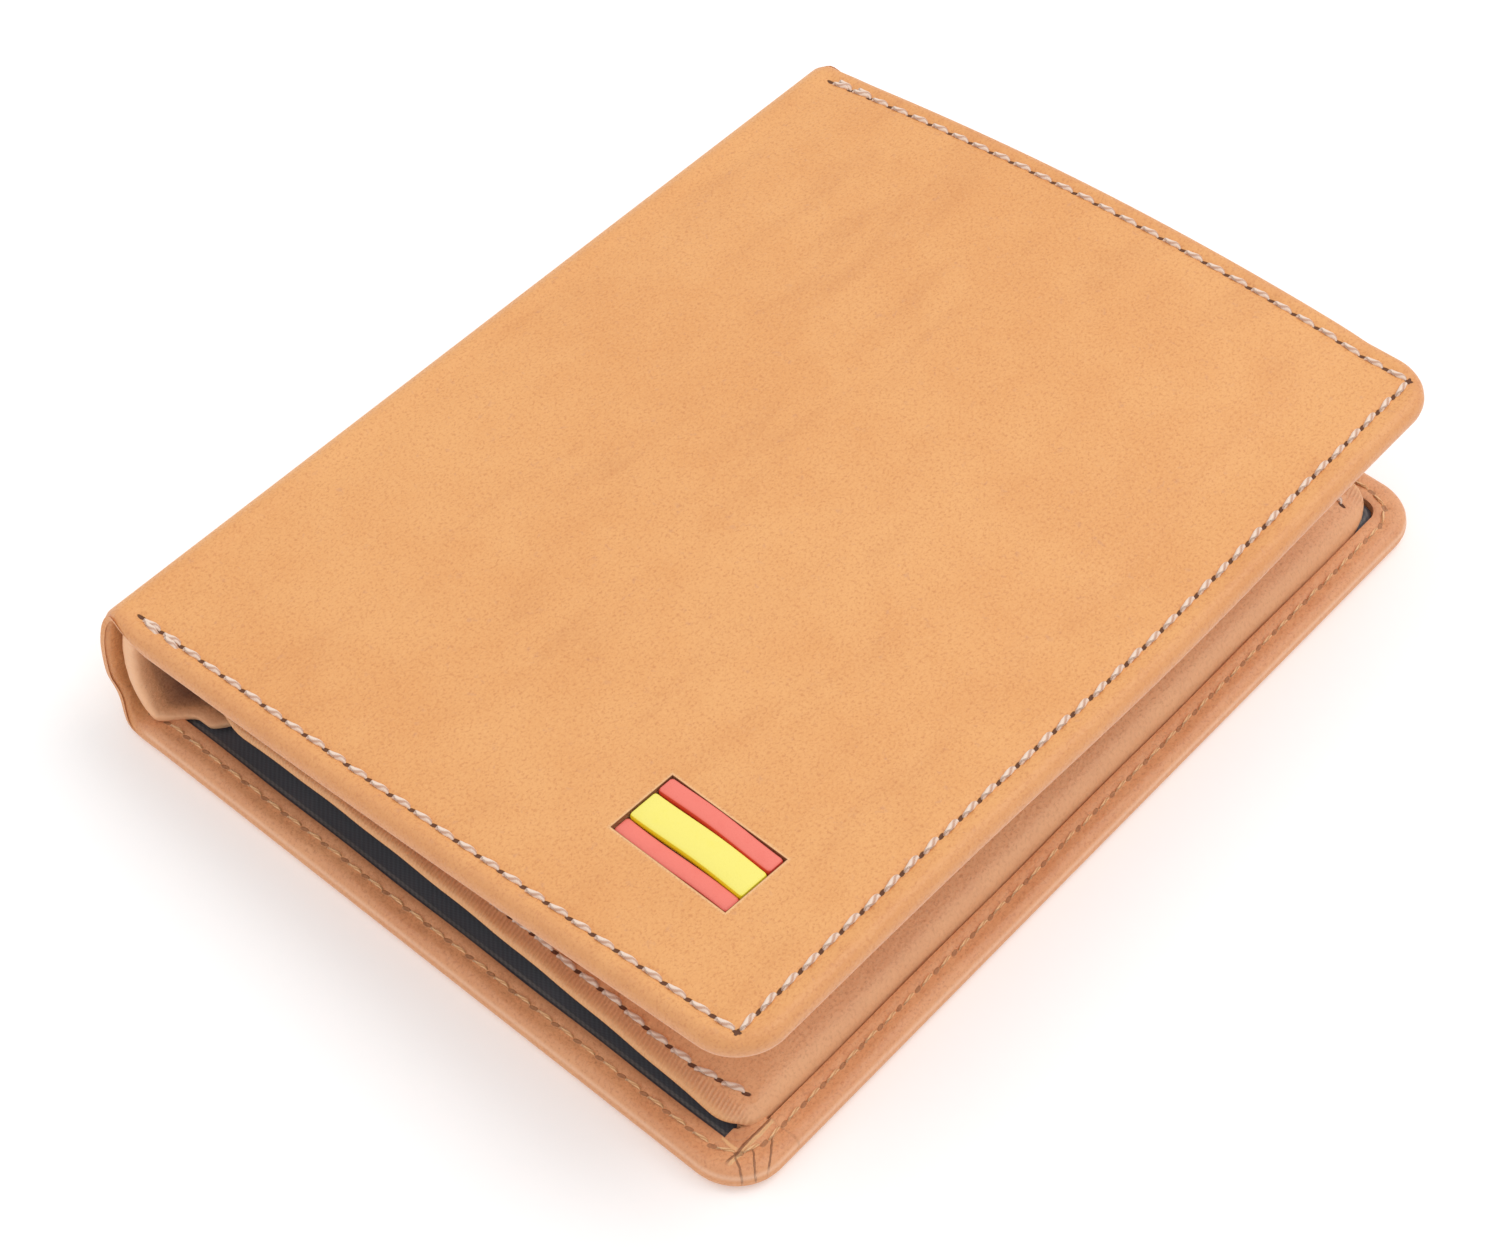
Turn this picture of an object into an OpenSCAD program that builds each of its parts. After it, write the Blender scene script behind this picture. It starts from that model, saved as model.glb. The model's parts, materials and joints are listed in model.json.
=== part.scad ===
// Portrait bifold wallet in turned-edge leather, lying closed on its back cover.
// +X runs from the spine to the free edge, +Y along the spine, +Z up from the surface it lies on.
// The origin is the middle of the closed wallet's footprint.

/* [Wallet] */
// Width of the closed wallet, from the spine to the free edge
wallet_w = 95.5; // [85:0.5:120]
// Length of the wallet along the spine
wallet_l = 125; // [100:0.5:155]
// Angle by which the front cover's free edge lifts when the wallet lies closed
front_lift = 4.35; // [3:0.05:8]
// Radius of the covers' corners
corner_r = 6.2; // [5:0.1:12]
// How much smaller the front cover is than the back cover, on each free side
front_setback = 1.2; // [0.5:0.1:3]

/* [Leather, board and lining] */
// Thickness of the outer leather and of its turned hem
leather_t = 1.2; // [0.8:0.05:1.8]
// Thickness of the stiffening board inside each cover
board_t = 0.6; // [0.4:0.05:1.5]
// Thickness of the lining cloth
lining_t = 0.4; // [0.2:0.05:0.8]
// Width of the hem turned over the inside of each cover
hem_w = 4.2; // [3.8:0.1:7]
// Thickness of the leather panel that carries the card pockets
panel_t = 1.6; // [1:0.1:2.4]
// Gap between the hems and the short edges of the panels
panel_gap = 0.4; // [0.2:0.1:4]

/* [Note compartment] */
// Height of the arch that the back panel makes over the back cover
note_rise = 6.2; // [5:0.1:9]
// Distance from the bottom edge to the seam that closes the note compartment
seam_depth = 16; // [12:0.5:30]

/* [Card pockets] */
// Thickness of one card pocket
pocket_t = 0.8; // [0.5:0.05:1.2]
// Width of the card pockets
pocket_w = 62; // [52:0.5:66]
// Height of the tallest card pocket
pocket_l = 88; // [80:0.5:92]
// Step from one pocket's mouth to the next
pocket_step = 11; // [6:0.5:14]
// Width of the clear window's opening
window_w = 46; // [30:0.5:50]
// Length of the clear window's opening
window_l = 74; // [50:0.5:80]
// Width of the leather border round the clear window
window_border = 8; // [5:0.5:9]
// Thickness of the clear film
film_t = 0.25; // [0.15:0.05:0.5]

/* [Stitching] */
// Length of one stitch and the hole after it
stitch_pitch = 3.15; // [2.5:0.05:5]
// Thickness of the thread
thread_d = 0.55; // [0.3:0.05:0.8]
// Distance from the edge of a cover to its stitching
stitch_inset = 2.8; // [2:0.1:3.4]
// Distance from the edge of a panel to its stitching
panel_stitch_inset = 2.2; // [1.2:0.1:4]

/* [Inlay] */
// Length of the inlay's cut-out in the front cover
inlay_l = 16.4; // [10:0.1:24]
// Width of the inlay's cut-out
inlay_w = 9; // [6:0.1:14]
// Share of the width that the middle band takes
middle_share = 0.46; // [0.3:0.01:0.6]
// Distance from the free edge of the front cover to the middle of the inlay
inlay_from_edge = 21.7; // [16:0.1:40]
// Distance from the bottom edge of the front cover to the middle of the inlay
inlay_from_bottom = 17.9; // [12:0.1:40]
// Turn of the inlay on the cover, in degrees
inlay_turn = -3; // [-10:0.5:10]

/* [Spine] */
// Thickness of the outer leather at the spine, with its backing
spine_t = 2.2; // [1.6:0.1:2.6]
// Thickness of the inner leather at the spine, with its turned edge
spine_lining_t = 2; // [1:0.1:2.4]
// Gap between the outer and the inner leather of the spine
spine_gap = 0.8; // [0.3:0.1:1.5]

/* [Hidden] */
$fn = 48;

card_pockets = 3;        // stepped card pockets on the back panel

cut = 0.5;               // how far a cutting shape runs past the face that it cuts
row_margin = 1;          // room between a panel's stitching and the pockets beside it
pocket_shift = 0.42;     // share of the spare width that lies on the spine's side of the pockets
slip_side = 2;           // how far the slip pocket reaches past the window's frame on each side
film_seat = 2;           // how far the film lies inside the outer edge of the frame
least_r = 0.5;           // least radius of a corner inside a hem
fold_clearance = 0.8;    // least room between the front and the back layers when closed
hinge_clearance = 0.2;   // room between a cover and the roll of the spine
groove_clearance = 0.15; // room beside and above a thread in its groove
slip_gap = 0.2;          // room between the front lining and the front panel
stitch_share = 0.72;     // share of the pitch that the thread covers, the rest is the hole
thread_flat = 0.65;      // height of a pulled-down thread, as a share of its thickness
panel_root = 8;          // distance from the fold to the spine side of the panels
spine_setback = 0.6;     // how far the spine stands back from the short edges of the back cover
bridge = 1;              // height of the cloth bridges between the leathers of the spine

cover_t = 2 * leather_t + board_t;
fold_z = cover_t / 2;                      // height of the lower fold's axis
fold_x = -wallet_w / 2 + fold_z;           // both folds' axes lie this far from the middle
back_w = wallet_w / 2 - fold_x;            // back cover, from the fold to its free edge
front_w = back_w - front_setback;          // front cover, from the fold to its free edge
front_l = wallet_l - 2 * front_setback;
cover_root = fold_z + hinge_clearance;     // the covers start here, clear of the spine's roll
groove_w = thread_d + groove_clearance;
thread_h = thread_d * thread_flat;         // height of a thread, and depth of its groove

floor_z = leather_t + board_t + lining_t;  // top of the back lining
panel_z = floor_z + lining_t;              // the arch is measured from here
front_panel_top = -board_t / 2 - lining_t - slip_gap;       // in the front cover's frame
front_panel_bottom = front_panel_top - panel_t;
slip_bottom = front_panel_bottom - pocket_t;
film_bottom = slip_bottom - film_t;
frame_bottom = film_bottom - pocket_t;

arch_x0 = fold_x + panel_root;
arch_x1 = wallet_w / 2 - hem_w;
arch_w = arch_x1 - arch_x0;
arch_steps = 26;
panel_l = wallet_l - 2 * (hem_w + panel_gap);

// Height of the arch's smooth line at a share s of the way from the spine side to the free side
function arch_curve(s) = note_rise * pow(sin(180 * pow(s, 0.56)), 0.6);

// Height of the arch itself, which runs straight from step to step, so that its layers fit each other
function arch(s) =
    let (i = min(floor(s * arch_steps), arch_steps - 1), t = s * arch_steps - i)
    arch_curve(i / arch_steps) * (1 - t) + arch_curve((i + 1) / arch_steps) * t;

// The card pockets stand on the arch between two shares, and start beside the panel's lower stitching
pocket_s0 = (arch_w - pocket_w) * pocket_shift / arch_w;
pocket_s1 = pocket_s0 + pocket_w / arch_w;
pocket_y0 = -panel_l / 2 + panel_stitch_inset + row_margin;

// Height of the back layers at a share s, stitches included
function back_top(s) = panel_z + panel_t + arch(s) + thread_h
    + (s >= pocket_s0 && s <= pocket_s1 ? card_pockets * pocket_t : 0);

// The folds stand far enough apart for the front layers to clear the back layers all along
spine_rise = fold_clearance - fold_z + (thread_h - frame_bottom) / cos(front_lift)
    + max([for (i = [0 : 100]) back_top(i / 100) - (panel_root + arch_w * i / 100) * tan(front_lift)]);

function arch_point(s, z) = [arch_x0 + arch_w * s, z + arch(s)];

// Points of the arch at height z, between the shares s0 and s1
function arch_line(z, s0, s1) = [
    arch_point(s0, z),
    for (i = [0 : arch_steps]) if (i / arch_steps > s0 && i / arch_steps < s1) arch_point(i / arch_steps, z),
    arch_point(s1, z)
];

function reversed(list) = [for (i = [len(list) - 1 : -1 : 0]) list[i]];

// A sheet that follows the arch, from z to z + t, between the shares s0 and s1 and the places y0 and y1
module arch_sheet(z, t, s0, s1, y0, y1) {
    translate([0, y1, 0]) rotate([90, 0, 0]) linear_extrude(y1 - y0)
        polygon(concat(arch_line(z, s0, s1), reversed(arch_line(z + t, s0, s1))));
}

// Outline of a cover from x0 to x1, round at its two free corners, which lie this far inside the edge
module cover_outline(x0, x1, l, inside) {
    r = max(corner_r - inside, least_r);
    translate([x0, -l / 2]) square([x1 - r - x0, l]);
    translate([x0, -l / 2 + r]) square([x1 - x0, l - 2 * r]);
    for (side = [-1, 1]) translate([x1 - r, side * (l / 2 - r)]) circle(r);
}

// A cover's outline as a plate, from z0 to z1
module cover_plate(x0, x1, l, inside, z0, z1) {
    translate([0, 0, z0]) linear_extrude(z1 - z0) cover_outline(x0, x1, l, inside);
}

// Three-sided groove for a row of stitches, from z0 to z1
module row_groove(w, l, inset, z0, z1) {
    x1 = w - inset;
    y1 = l / 2 - inset;
    translate([0, 0, z0]) linear_extrude(z1 - z0) difference() {
        translate([cover_root + 1, -y1 - groove_w / 2])
            square([x1 + groove_w / 2 - cover_root - 1, 2 * y1 + groove_w]);
        translate([0, -y1 + groove_w / 2]) square([x1 - groove_w / 2, 2 * y1 - groove_w]);
    }
}

// One straight run of stitches, n of them, from start along X or Y, lying from z up to z + h
module stitch_run(start, run, along_y, z, h) {
    n = round(run / stitch_pitch);
    pitch = run / n;
    stitch_l = pitch * stitch_share;
    for (i = [0 : n - 1]) {
        mid = (i + 0.5) * pitch;
        at = along_y ? [start[0], start[1] + mid] : [start[0] + mid, start[1]];
        size = along_y ? [thread_d, stitch_l] : [stitch_l, thread_d];
        translate([at[0] - size[0] / 2, at[1] - size[1] / 2, z]) cube([size[0], size[1], h]);
    }
}

// Stitches along the three free sides of a cover
module cover_stitches(w, l, inset, z, h) {
    x0 = cover_root + 1.5;
    x1 = w - inset;
    y1 = l / 2 - inset;
    for (side = [-1, 1]) stitch_run([x0, side * y1], x1 - x0 - thread_d, false, z, h);
    stitch_run([x1, -y1 + thread_d], 2 * (y1 - thread_d), true, z, h);
}

// A cover in its own frame: the fold's axis is the Y axis, the outer face is up
module cover_leather(w, l) {
    difference() {
        cover_plate(cover_root, w, l, 0, -cover_t / 2, cover_t / 2);
        cover_plate(0, w - leather_t, l - 2 * leather_t, leather_t, -board_t / 2, board_t / 2);
        cover_plate(0, w - hem_w, l - 2 * hem_w, hem_w, -cover_t / 2 - cut, 0);
        row_groove(w, l, stitch_inset, cover_t / 2 - thread_h, cover_t / 2 + cut);
        row_groove(w, l, stitch_inset, -cover_t / 2 - cut, -cover_t / 2 + thread_h);
    }
}

module cover_board(w, l) {
    cover_plate(cover_root, w - leather_t, l - 2 * leather_t, leather_t, -board_t / 2, board_t / 2);
}

module cover_lining(w, l) {
    cover_plate(cover_root, w - hem_w, l - 2 * hem_w, hem_w,
                -board_t / 2 - lining_t, -board_t / 2);
}

// Places its children, which are in a cover's frame, on the back or on the front of the wallet
module on_back() {
    translate([fold_x, 0, fold_z]) mirror([0, 0, 1]) children();
}

module on_front() {
    translate([fold_x, 0, fold_z + spine_rise]) rotate([0, -front_lift, 0]) children();
}

// Places its children on the middle of the inlay, in the front cover's frame
module on_inlay() {
    translate([front_w - inlay_from_edge, -front_l / 2 + inlay_from_bottom, 0])
        rotate([0, 0, inlay_turn]) children();
}

module back_cover() { color("peru") on_back() cover_leather(back_w, wallet_l); }

module back_board() { color("tan") on_back() cover_board(back_w, wallet_l); }

module back_lining() { color("darkslategray") on_back() cover_lining(back_w, wallet_l); }

module back_outer_thread() {
    color("antiquewhite") on_back()
        cover_stitches(back_w, wallet_l, stitch_inset, cover_t / 2 - thread_h, thread_h);
}

module back_inner_thread() {
    color("goldenrod") on_back()
        cover_stitches(back_w, wallet_l, stitch_inset, -cover_t / 2, thread_h);
}

// A layer of the whole arch, round at its free corners as the hem is there
module arch_layer(z, t) {
    intersection() {
        arch_sheet(z, t, 0, 1, -panel_l / 2, panel_l / 2);
        translate([fold_x, 0, 0])
            cover_plate(cover_root, back_w - hem_w, wallet_l - 2 * hem_w, hem_w, 0, z + t + note_rise + cut);
    }
}

module back_panel() { color("sienna") arch_layer(panel_z, panel_t); }

module back_panel_lining() { color("darkslategray") arch_layer(floor_z, lining_t); }

// A row of stitches across the arch at y, standing on a layer whose top is z above it
module arch_stitches(z, s0, s1, y) {
    n = round(arch_w * (s1 - s0) / stitch_pitch);
    for (i = [0 : n - 1]) {
        a = s0 + (s1 - s0) * i / n;
        b = a + (s1 - s0) * stitch_share / n;
        translate([0, y + thread_d / 2, 0]) rotate([90, 0, 0]) linear_extrude(thread_d)
            polygon([arch_point(a, z), arch_point(b, z),
                     arch_point(b, z + thread_h), arch_point(a, z + thread_h)]);
    }
}

// Stitches along both short edges of the back panel
module back_panel_thread() {
    color("antiquewhite") for (side = [-1, 1])
        arch_stitches(panel_z + panel_t, 0.05, 0.97, side * (panel_l / 2 - panel_stitch_inset));
}

// The lining is sewn shut along this wall, near the bottom edge of the note compartment
module note_seam() {
    y = -wallet_l / 2 + seam_depth;
    color("darkslategray") translate([0, y + lining_t, 0]) rotate([90, 0, 0]) linear_extrude(2 * lining_t)
        polygon(arch_line(floor_z, 0, 1));
}

// Card pocket k, counted from the panel up: each mouth is a step below the one before
module card_pocket(k) {
    color("peru") arch_sheet(panel_z + panel_t + k * pocket_t, pocket_t, pocket_s0, pocket_s1,
                             pocket_y0, pocket_y0 + pocket_l - k * pocket_step);
}

// Stitches across the bottom of the card pockets
module card_pocket_thread() {
    margin = (pocket_s1 - pocket_s0) * 0.03;
    color("antiquewhite")
        arch_stitches(panel_z + panel_t + card_pockets * pocket_t, pocket_s0 + margin,
                      pocket_s1 - margin, pocket_y0 + panel_stitch_inset);
}

// Outer leather of the spine: a wall with a roll round each fold's axis
module spine_cover() {
    l = wallet_l - 2 * spine_setback;
    color("peru") {
        translate([fold_x - fold_z, -l / 2, fold_z]) cube([spine_t, l, spine_rise]);
        for (z = [fold_z, fold_z + spine_rise])
            translate([fold_x, l / 2, z]) rotate([90, 0, 0]) cylinder(h = l, r = fold_z);
    }
}

// Inner leather of the spine, behind the outer one and clear of both covers
module spine_lining() {
    x0 = fold_x - fold_z + spine_t + spine_gap;
    z0 = cover_t + fold_clearance;
    z1 = fold_z + spine_rise - cover_t / 2 - fold_clearance;
    l = wallet_l - 2 * front_setback;
    color("sienna") {
        translate([x0, -l / 2, z0]) cube([spine_lining_t, l, z1 - z0]);
        // cloth bridges that join it to the outer leather
        for (z = [z0 + bridge, z1 - 2 * bridge])
            translate([x0 - spine_gap, -l / 2, z]) cube([spine_gap, l, bridge]);
    }
}

module front_cover() {
    color("peru") on_front() difference() {
        cover_leather(front_w, front_l);
        on_inlay() translate([-inlay_l / 2, -inlay_w / 2, 0]) cube([inlay_l, inlay_w, cover_t]);
    }
}

module front_board() { color("tan") on_front() cover_board(front_w, front_l); }

module front_lining() { color("darkslategray") on_front() cover_lining(front_w, front_l); }

module front_outer_thread() {
    color("antiquewhite") on_front()
        cover_stitches(front_w, front_l, stitch_inset, cover_t / 2 - thread_h, thread_h);
}

module front_inner_thread() {
    color("goldenrod") on_front()
        cover_stitches(front_w, front_l, stitch_inset, -cover_t / 2, thread_h);
}

front_panel_l = front_l - 2 * (hem_w + panel_gap);
front_panel_x1 = front_w - hem_w;
module front_panel() {
    color("sienna") on_front()
        cover_plate(panel_root, front_panel_x1, front_panel_l, hem_w,
                    front_panel_bottom, front_panel_top);
}

module front_panel_thread() {
    y1 = front_panel_l / 2 - panel_stitch_inset;
    color("antiquewhite") on_front() for (side = [-1, 1])
        stitch_run([panel_root + 2, side * y1], front_panel_x1 - panel_root - 4, false,
                   front_panel_bottom - thread_h, thread_h);
}

// The window's frame, its film and the slip pocket behind them share one centre on the front panel
window_x = (panel_root + front_panel_x1) / 2;
frame_w = window_w + 2 * window_border;
frame_l = window_l + 2 * window_border;
slip_l = front_panel_l - 2 * (panel_stitch_inset + row_margin);

module window_block(w, l, z0, z1) {
    translate([window_x - w / 2, -l / 2, z0]) cube([w, l, z1 - z0]);
}

module slip_pocket() {
    color("peru") on_front()
        window_block(frame_w + 2 * slip_side, slip_l, slip_bottom, front_panel_bottom);
}

module window_film() {
    color("lightblue", 0.4) on_front()
        window_block(frame_w - 2 * film_seat, frame_l - 2 * film_seat, film_bottom, slip_bottom);
}

module window_frame() {
    color("sienna") on_front() difference() {
        window_block(frame_w, frame_l, frame_bottom, slip_bottom);
        window_block(frame_w - 2 * film_seat, frame_l - 2 * film_seat, film_bottom, slip_bottom + cut);
        window_block(window_w, window_l, frame_bottom - cut, slip_bottom + cut);
    }
}

// Stitches along both long sides and the bottom of the window's frame
module window_thread() {
    dx = frame_w / 2 - panel_stitch_inset;
    dy = frame_l / 2 - panel_stitch_inset;
    color("antiquewhite") on_front() {
        for (side = [-1, 1])
            stitch_run([window_x + side * dx, -dy], 2 * dy, true, frame_bottom - thread_h, thread_h);
        stitch_run([window_x - dx + 1, -dy], 2 * dx - 2, false, frame_bottom - thread_h, thread_h);
    }
}

// One band of the inlay, from y0 to y1 across it, its top this far below the leather's face
module inlay_band(y0, y1, sunk) {
    gap = 0.08;
    on_front() on_inlay() translate([-inlay_l / 2 + gap, y0 + gap, board_t / 2])
        cube([inlay_l - 2 * gap, y1 - y0 - 2 * gap, leather_t - sunk]);
}

middle_w = inlay_w * middle_share;
module inlay_band_lower() { color("tomato") inlay_band(-inlay_w / 2, -middle_w / 2, 0.3); }
module inlay_band_middle() { color("gold") inlay_band(-middle_w / 2, middle_w / 2, 0.1); }
module inlay_band_upper() { color("tomato") inlay_band(middle_w / 2, inlay_w / 2, 0.3); }

back_cover();
back_board();
back_lining();
back_outer_thread();
back_inner_thread();
back_panel();
back_panel_lining();
back_panel_thread();
note_seam();
card_pocket(0);  // card_pocket_1
card_pocket(1);  // card_pocket_2
card_pocket(2);  // card_pocket_3
card_pocket_thread();
spine_cover();
spine_lining();
front_cover();
front_board();
front_lining();
front_outer_thread();
front_inner_thread();
front_panel();
front_panel_thread();
slip_pocket();
window_film();
window_frame();
window_thread();
inlay_band_lower();
inlay_band_middle();
inlay_band_upper();
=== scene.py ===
# %% [markdown]
# # A bifold wallet in tan leather
# The wallet lies closed on its back cover. Its front cover rests on the soft leather panels inside and
# lifts a little towards the free edge. Almost everything here is sheet leather: it is made flat first,
# as a cutter would lay it out, and then wrapped round the folds. Lengths in this script are millimetres,
# and a mesh is brought to metres only when its points are written.

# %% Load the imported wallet
import json
import math
import bpy
import numpy as np
from mathutils import Matrix, Vector


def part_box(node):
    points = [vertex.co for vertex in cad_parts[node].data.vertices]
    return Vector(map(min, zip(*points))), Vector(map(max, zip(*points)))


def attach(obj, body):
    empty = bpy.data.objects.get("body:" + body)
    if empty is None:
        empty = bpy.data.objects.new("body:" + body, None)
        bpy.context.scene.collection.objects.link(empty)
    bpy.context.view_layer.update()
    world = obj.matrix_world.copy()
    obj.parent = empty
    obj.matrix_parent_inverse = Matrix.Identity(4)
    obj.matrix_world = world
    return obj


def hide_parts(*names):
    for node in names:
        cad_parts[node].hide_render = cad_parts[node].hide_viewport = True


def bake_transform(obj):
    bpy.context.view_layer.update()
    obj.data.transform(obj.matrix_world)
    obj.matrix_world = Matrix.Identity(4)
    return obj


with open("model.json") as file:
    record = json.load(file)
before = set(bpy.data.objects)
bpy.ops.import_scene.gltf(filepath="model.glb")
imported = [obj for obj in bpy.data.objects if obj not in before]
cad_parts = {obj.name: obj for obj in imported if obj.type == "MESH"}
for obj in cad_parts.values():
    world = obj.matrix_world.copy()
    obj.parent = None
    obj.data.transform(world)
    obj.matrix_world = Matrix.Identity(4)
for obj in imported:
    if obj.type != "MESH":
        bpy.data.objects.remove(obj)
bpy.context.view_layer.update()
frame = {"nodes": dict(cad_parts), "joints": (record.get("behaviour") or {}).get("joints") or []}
MM = 0.001
print("packed nodes:", len(frame["nodes"]))

# %% [markdown]
# The folds and the covers give every other size. Both folds are hinges that run along the wallet, one at
# the bottom of the spine and one at its top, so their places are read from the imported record.

# %% Read the folds and the covers
folds = {joint["name"]: joint for joint in frame["joints"]}
fold_x = folds["back_fold"]["pos_m"][0] / MM
low_fold_z = folds["back_fold"]["pos_m"][2] / MM
top_fold_z = folds["front_fold"]["pos_m"][2] / MM
lift = math.radians(90 - folds["front_fold"]["range_deg"][1])
back_low, back_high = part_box("back_cover")
skin = (back_high.z - back_low.z) / MM / 2      # half the thickness of a cover
back_w = back_high.x / MM - fold_x              # from the fold to the free edge
back_half = back_high.y / MM                    # half the length along the spine
front_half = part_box("front_cover")[1].y / MM
front_w = back_w - (back_half - front_half)
print(f"back cover {back_w:.1f} x {2 * back_half:.1f}, front cover {front_w:.1f} x {2 * front_half:.1f} mm")

# %% [markdown]
# The camera stands where a product photographer would, in front of the wallet's lower free corner and
# well above it, with a long lens, turned a little in the hand.

# %% Set the camera
azimuth, elevation, roll = (math.radians(a) for a in (39.15, 51.13, 2.29))
away = Vector((math.sin(azimuth) * math.cos(elevation), -math.cos(azimuth) * math.cos(elevation),
               math.sin(elevation)))
level = (-away).cross(Vector((0, 0, 1))).normalized()
upright = level.cross(-away)
right = level * math.cos(roll) + upright * math.sin(roll)
top = upright * math.cos(roll) - level * math.sin(roll)
bpy.ops.object.camera_add()
camera = bpy.context.object
camera.name = "product_camera"
camera.data.lens = 78.9
camera.data.sensor_width = 36
camera.data.clip_start = 0.01
camera.matrix_world = Matrix.Translation(Vector((149.8, -190.3, 297.7)) * MM) @ Matrix(
    (right, top, away)).transposed().to_4x4()
bpy.context.scene.camera = camera
bpy.context.scene.view_settings.view_transform = "Standard"
print("camera at", [round(c, 4) for c in camera.location])

# %% [markdown]
# Shader maths reads better as arithmetic. `Num` wraps a number that comes out of a node, so that adding,
# multiplying or comparing two of them adds the Math node for it. `Finish` is one material being made:
# its `node` method adds any node, with its settings first and then its values and links. Colours go
# through a Mix node instead, because a Math node would turn them grey.

# %% Write shader maths as arithmetic
class Num:
    def __init__(self, finish, socket):
        self.finish = finish
        self.socket = socket

    def __add__(self, other):
        return self.finish.maths("ADD", self, other)

    def __sub__(self, other):
        return self.finish.maths("SUBTRACT", self, other)

    def __rsub__(self, other):
        return self.finish.maths("SUBTRACT", other, self)

    def __mul__(self, other):
        return self.finish.maths("MULTIPLY", self, other)

    def __truediv__(self, other):
        return self.finish.maths("DIVIDE", self, other)

    def __rtruediv__(self, other):
        return self.finish.maths("DIVIDE", other, self)

    def __pow__(self, other):
        return self.finish.maths("POWER", self, other)

    def __abs__(self):
        return self.finish.maths("ABSOLUTE", self)

    __radd__ = __add__
    __rmul__ = __mul__

    def most(self, other):
        return self.finish.maths("MAXIMUM", self, other)

    def spread(self, low, high):
        """0 below low, 1 above high, and smooth between them; low may be the larger one."""
        made = self.finish.node("ShaderNodeMapRange", {"interpolation_type": "SMOOTHSTEP"},
                                {"Value": self, "From Min": low, "From Max": high})
        return Num(self.finish, made.outputs["Result"])

    def sine(self):
        return self.finish.maths("SINE", self)

    def part(self):
        return self.finish.maths("FRACT", self)


class Finish:
    def __init__(self, name, **steady):
        self.material = bpy.data.materials.new(name)
        self.material.use_nodes = True
        self.tree = self.material.node_tree
        self.tree.nodes.clear()
        self.shader = self.node("ShaderNodeBsdfPrincipled")
        for key, value in steady.items():
            self.shader.inputs[key.replace("_", " ")].default_value = value
        output = self.node("ShaderNodeOutputMaterial")
        self.tree.links.new(self.shader.outputs["BSDF"], output.inputs["Surface"])

    def node(self, kind, settings=(), sockets=()):
        made = self.tree.nodes.new(kind)
        for key, value in dict(settings).items():
            setattr(made, key, value)
        for key, value in dict(sockets).items():
            self.join(value, made.inputs[key])
        return made

    def join(self, value, socket):
        if isinstance(value, Num):
            value = value.socket
        if isinstance(value, bpy.types.NodeSocket):
            self.tree.links.new(value, socket)
        else:
            socket.default_value = value

    def maths(self, operation, *values):
        made = self.node("ShaderNodeMath", {"operation": operation}, enumerate(values))
        return Num(self, made.outputs[0])

    def own(self, name):
        """A vector that the mesh carries on its points, such as its place on the flat leather."""
        return self.node("ShaderNodeAttribute", {"attribute_name": name}).outputs["Vector"]

    def own_number(self, name):
        return Num(self, self.node("ShaderNodeAttribute", {"attribute_name": name}).outputs["Fac"])

    def stretched(self, vector, x, y, z):
        made = self.node("ShaderNodeVectorMath", {"operation": "MULTIPLY"}, {0: vector, 1: (x, y, z)})
        return made.outputs["Vector"]

    def axes(self, vector):
        made = self.node("ShaderNodeSeparateXYZ", (), {0: vector})
        return [Num(self, made.outputs[i]) for i in range(3)]

    def noise(self, vector, scale, detail=2.0, rough=0.5, twist=0.0):
        made = self.node("ShaderNodeTexNoise", (), {"Vector": vector, "Scale": scale, "Detail": detail,
                                                    "Roughness": rough, "Distortion": twist})
        return Num(self, made.outputs["Fac"])

    def cells(self, vector, scale):
        made = self.node("ShaderNodeTexVoronoi", (), {"Vector": vector, "Scale": scale})
        return Num(self, made.outputs["Distance"])

    def blend(self, first, second, mask):
        made = self.node("ShaderNodeMix", {"data_type": "RGBA"}, {0: mask, 6: first, 7: second})
        return made.outputs[2]

    def colour(self, socket):
        self.join(socket, self.shader.inputs["Base Color"])

    def rough(self, number):
        self.join(number, self.shader.inputs["Roughness"])

    def relief(self, height, distance, strength=1.0):
        made = self.node("ShaderNodeBump", (), {"Height": height, "Distance": distance * MM,
                                                "Strength": strength})
        self.tree.links.new(made.outputs["Normal"], self.shader.inputs["Normal"])


def tone(red, green, blue):
    """A colour as a paint chart gives it, 0 to 255, as the shader wants it."""
    return tuple((c / 255 / 12.92 if c < 10.3 else ((c / 255 + 0.055) / 1.055) ** 2.4)
                 for c in (red, green, blue)) + (1.0,)


print("shader helpers ready")

# %% [markdown]
# The floor is a wide sheet of white paper that glows very slightly, as if it were also lit from beneath.
# The light is soft and bright, as in a light tent: a wide softbox over the far side gives the leather its
# gentle shading, and the white surroundings fill the rest.

# %% Lay the floor and hang the lights
bpy.ops.object.select_all(action="DESELECT")
bpy.ops.mesh.primitive_plane_add(size=30000 * MM)
floor = bpy.context.object
floor.name = "floor"
paper = Finish("white_paper", Roughness=0.9, Emission_Color=(1.0, 1.0, 1.0, 1.0), Emission_Strength=0.20)
paper_grain = paper.noise(paper.node("ShaderNodeTexCoord").outputs["Object"], 900.0, 3.0)
paper.colour(paper.blend(tone(239, 238, 238), tone(242, 241, 241), paper_grain))
floor.data.materials.append(paper.material)


def softbox(name, place, aim, size, power):
    bpy.ops.object.light_add(type="AREA")
    lamp = bpy.context.object
    lamp.name = name
    lamp.data.shape = "SQUARE"
    lamp.data.size = size * MM
    lamp.data.energy = power
    lamp.location = Vector(place) * MM
    lamp.rotation_euler = (Vector(aim) - Vector(place)).to_track_quat("-Z", "Y").to_euler()


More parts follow.
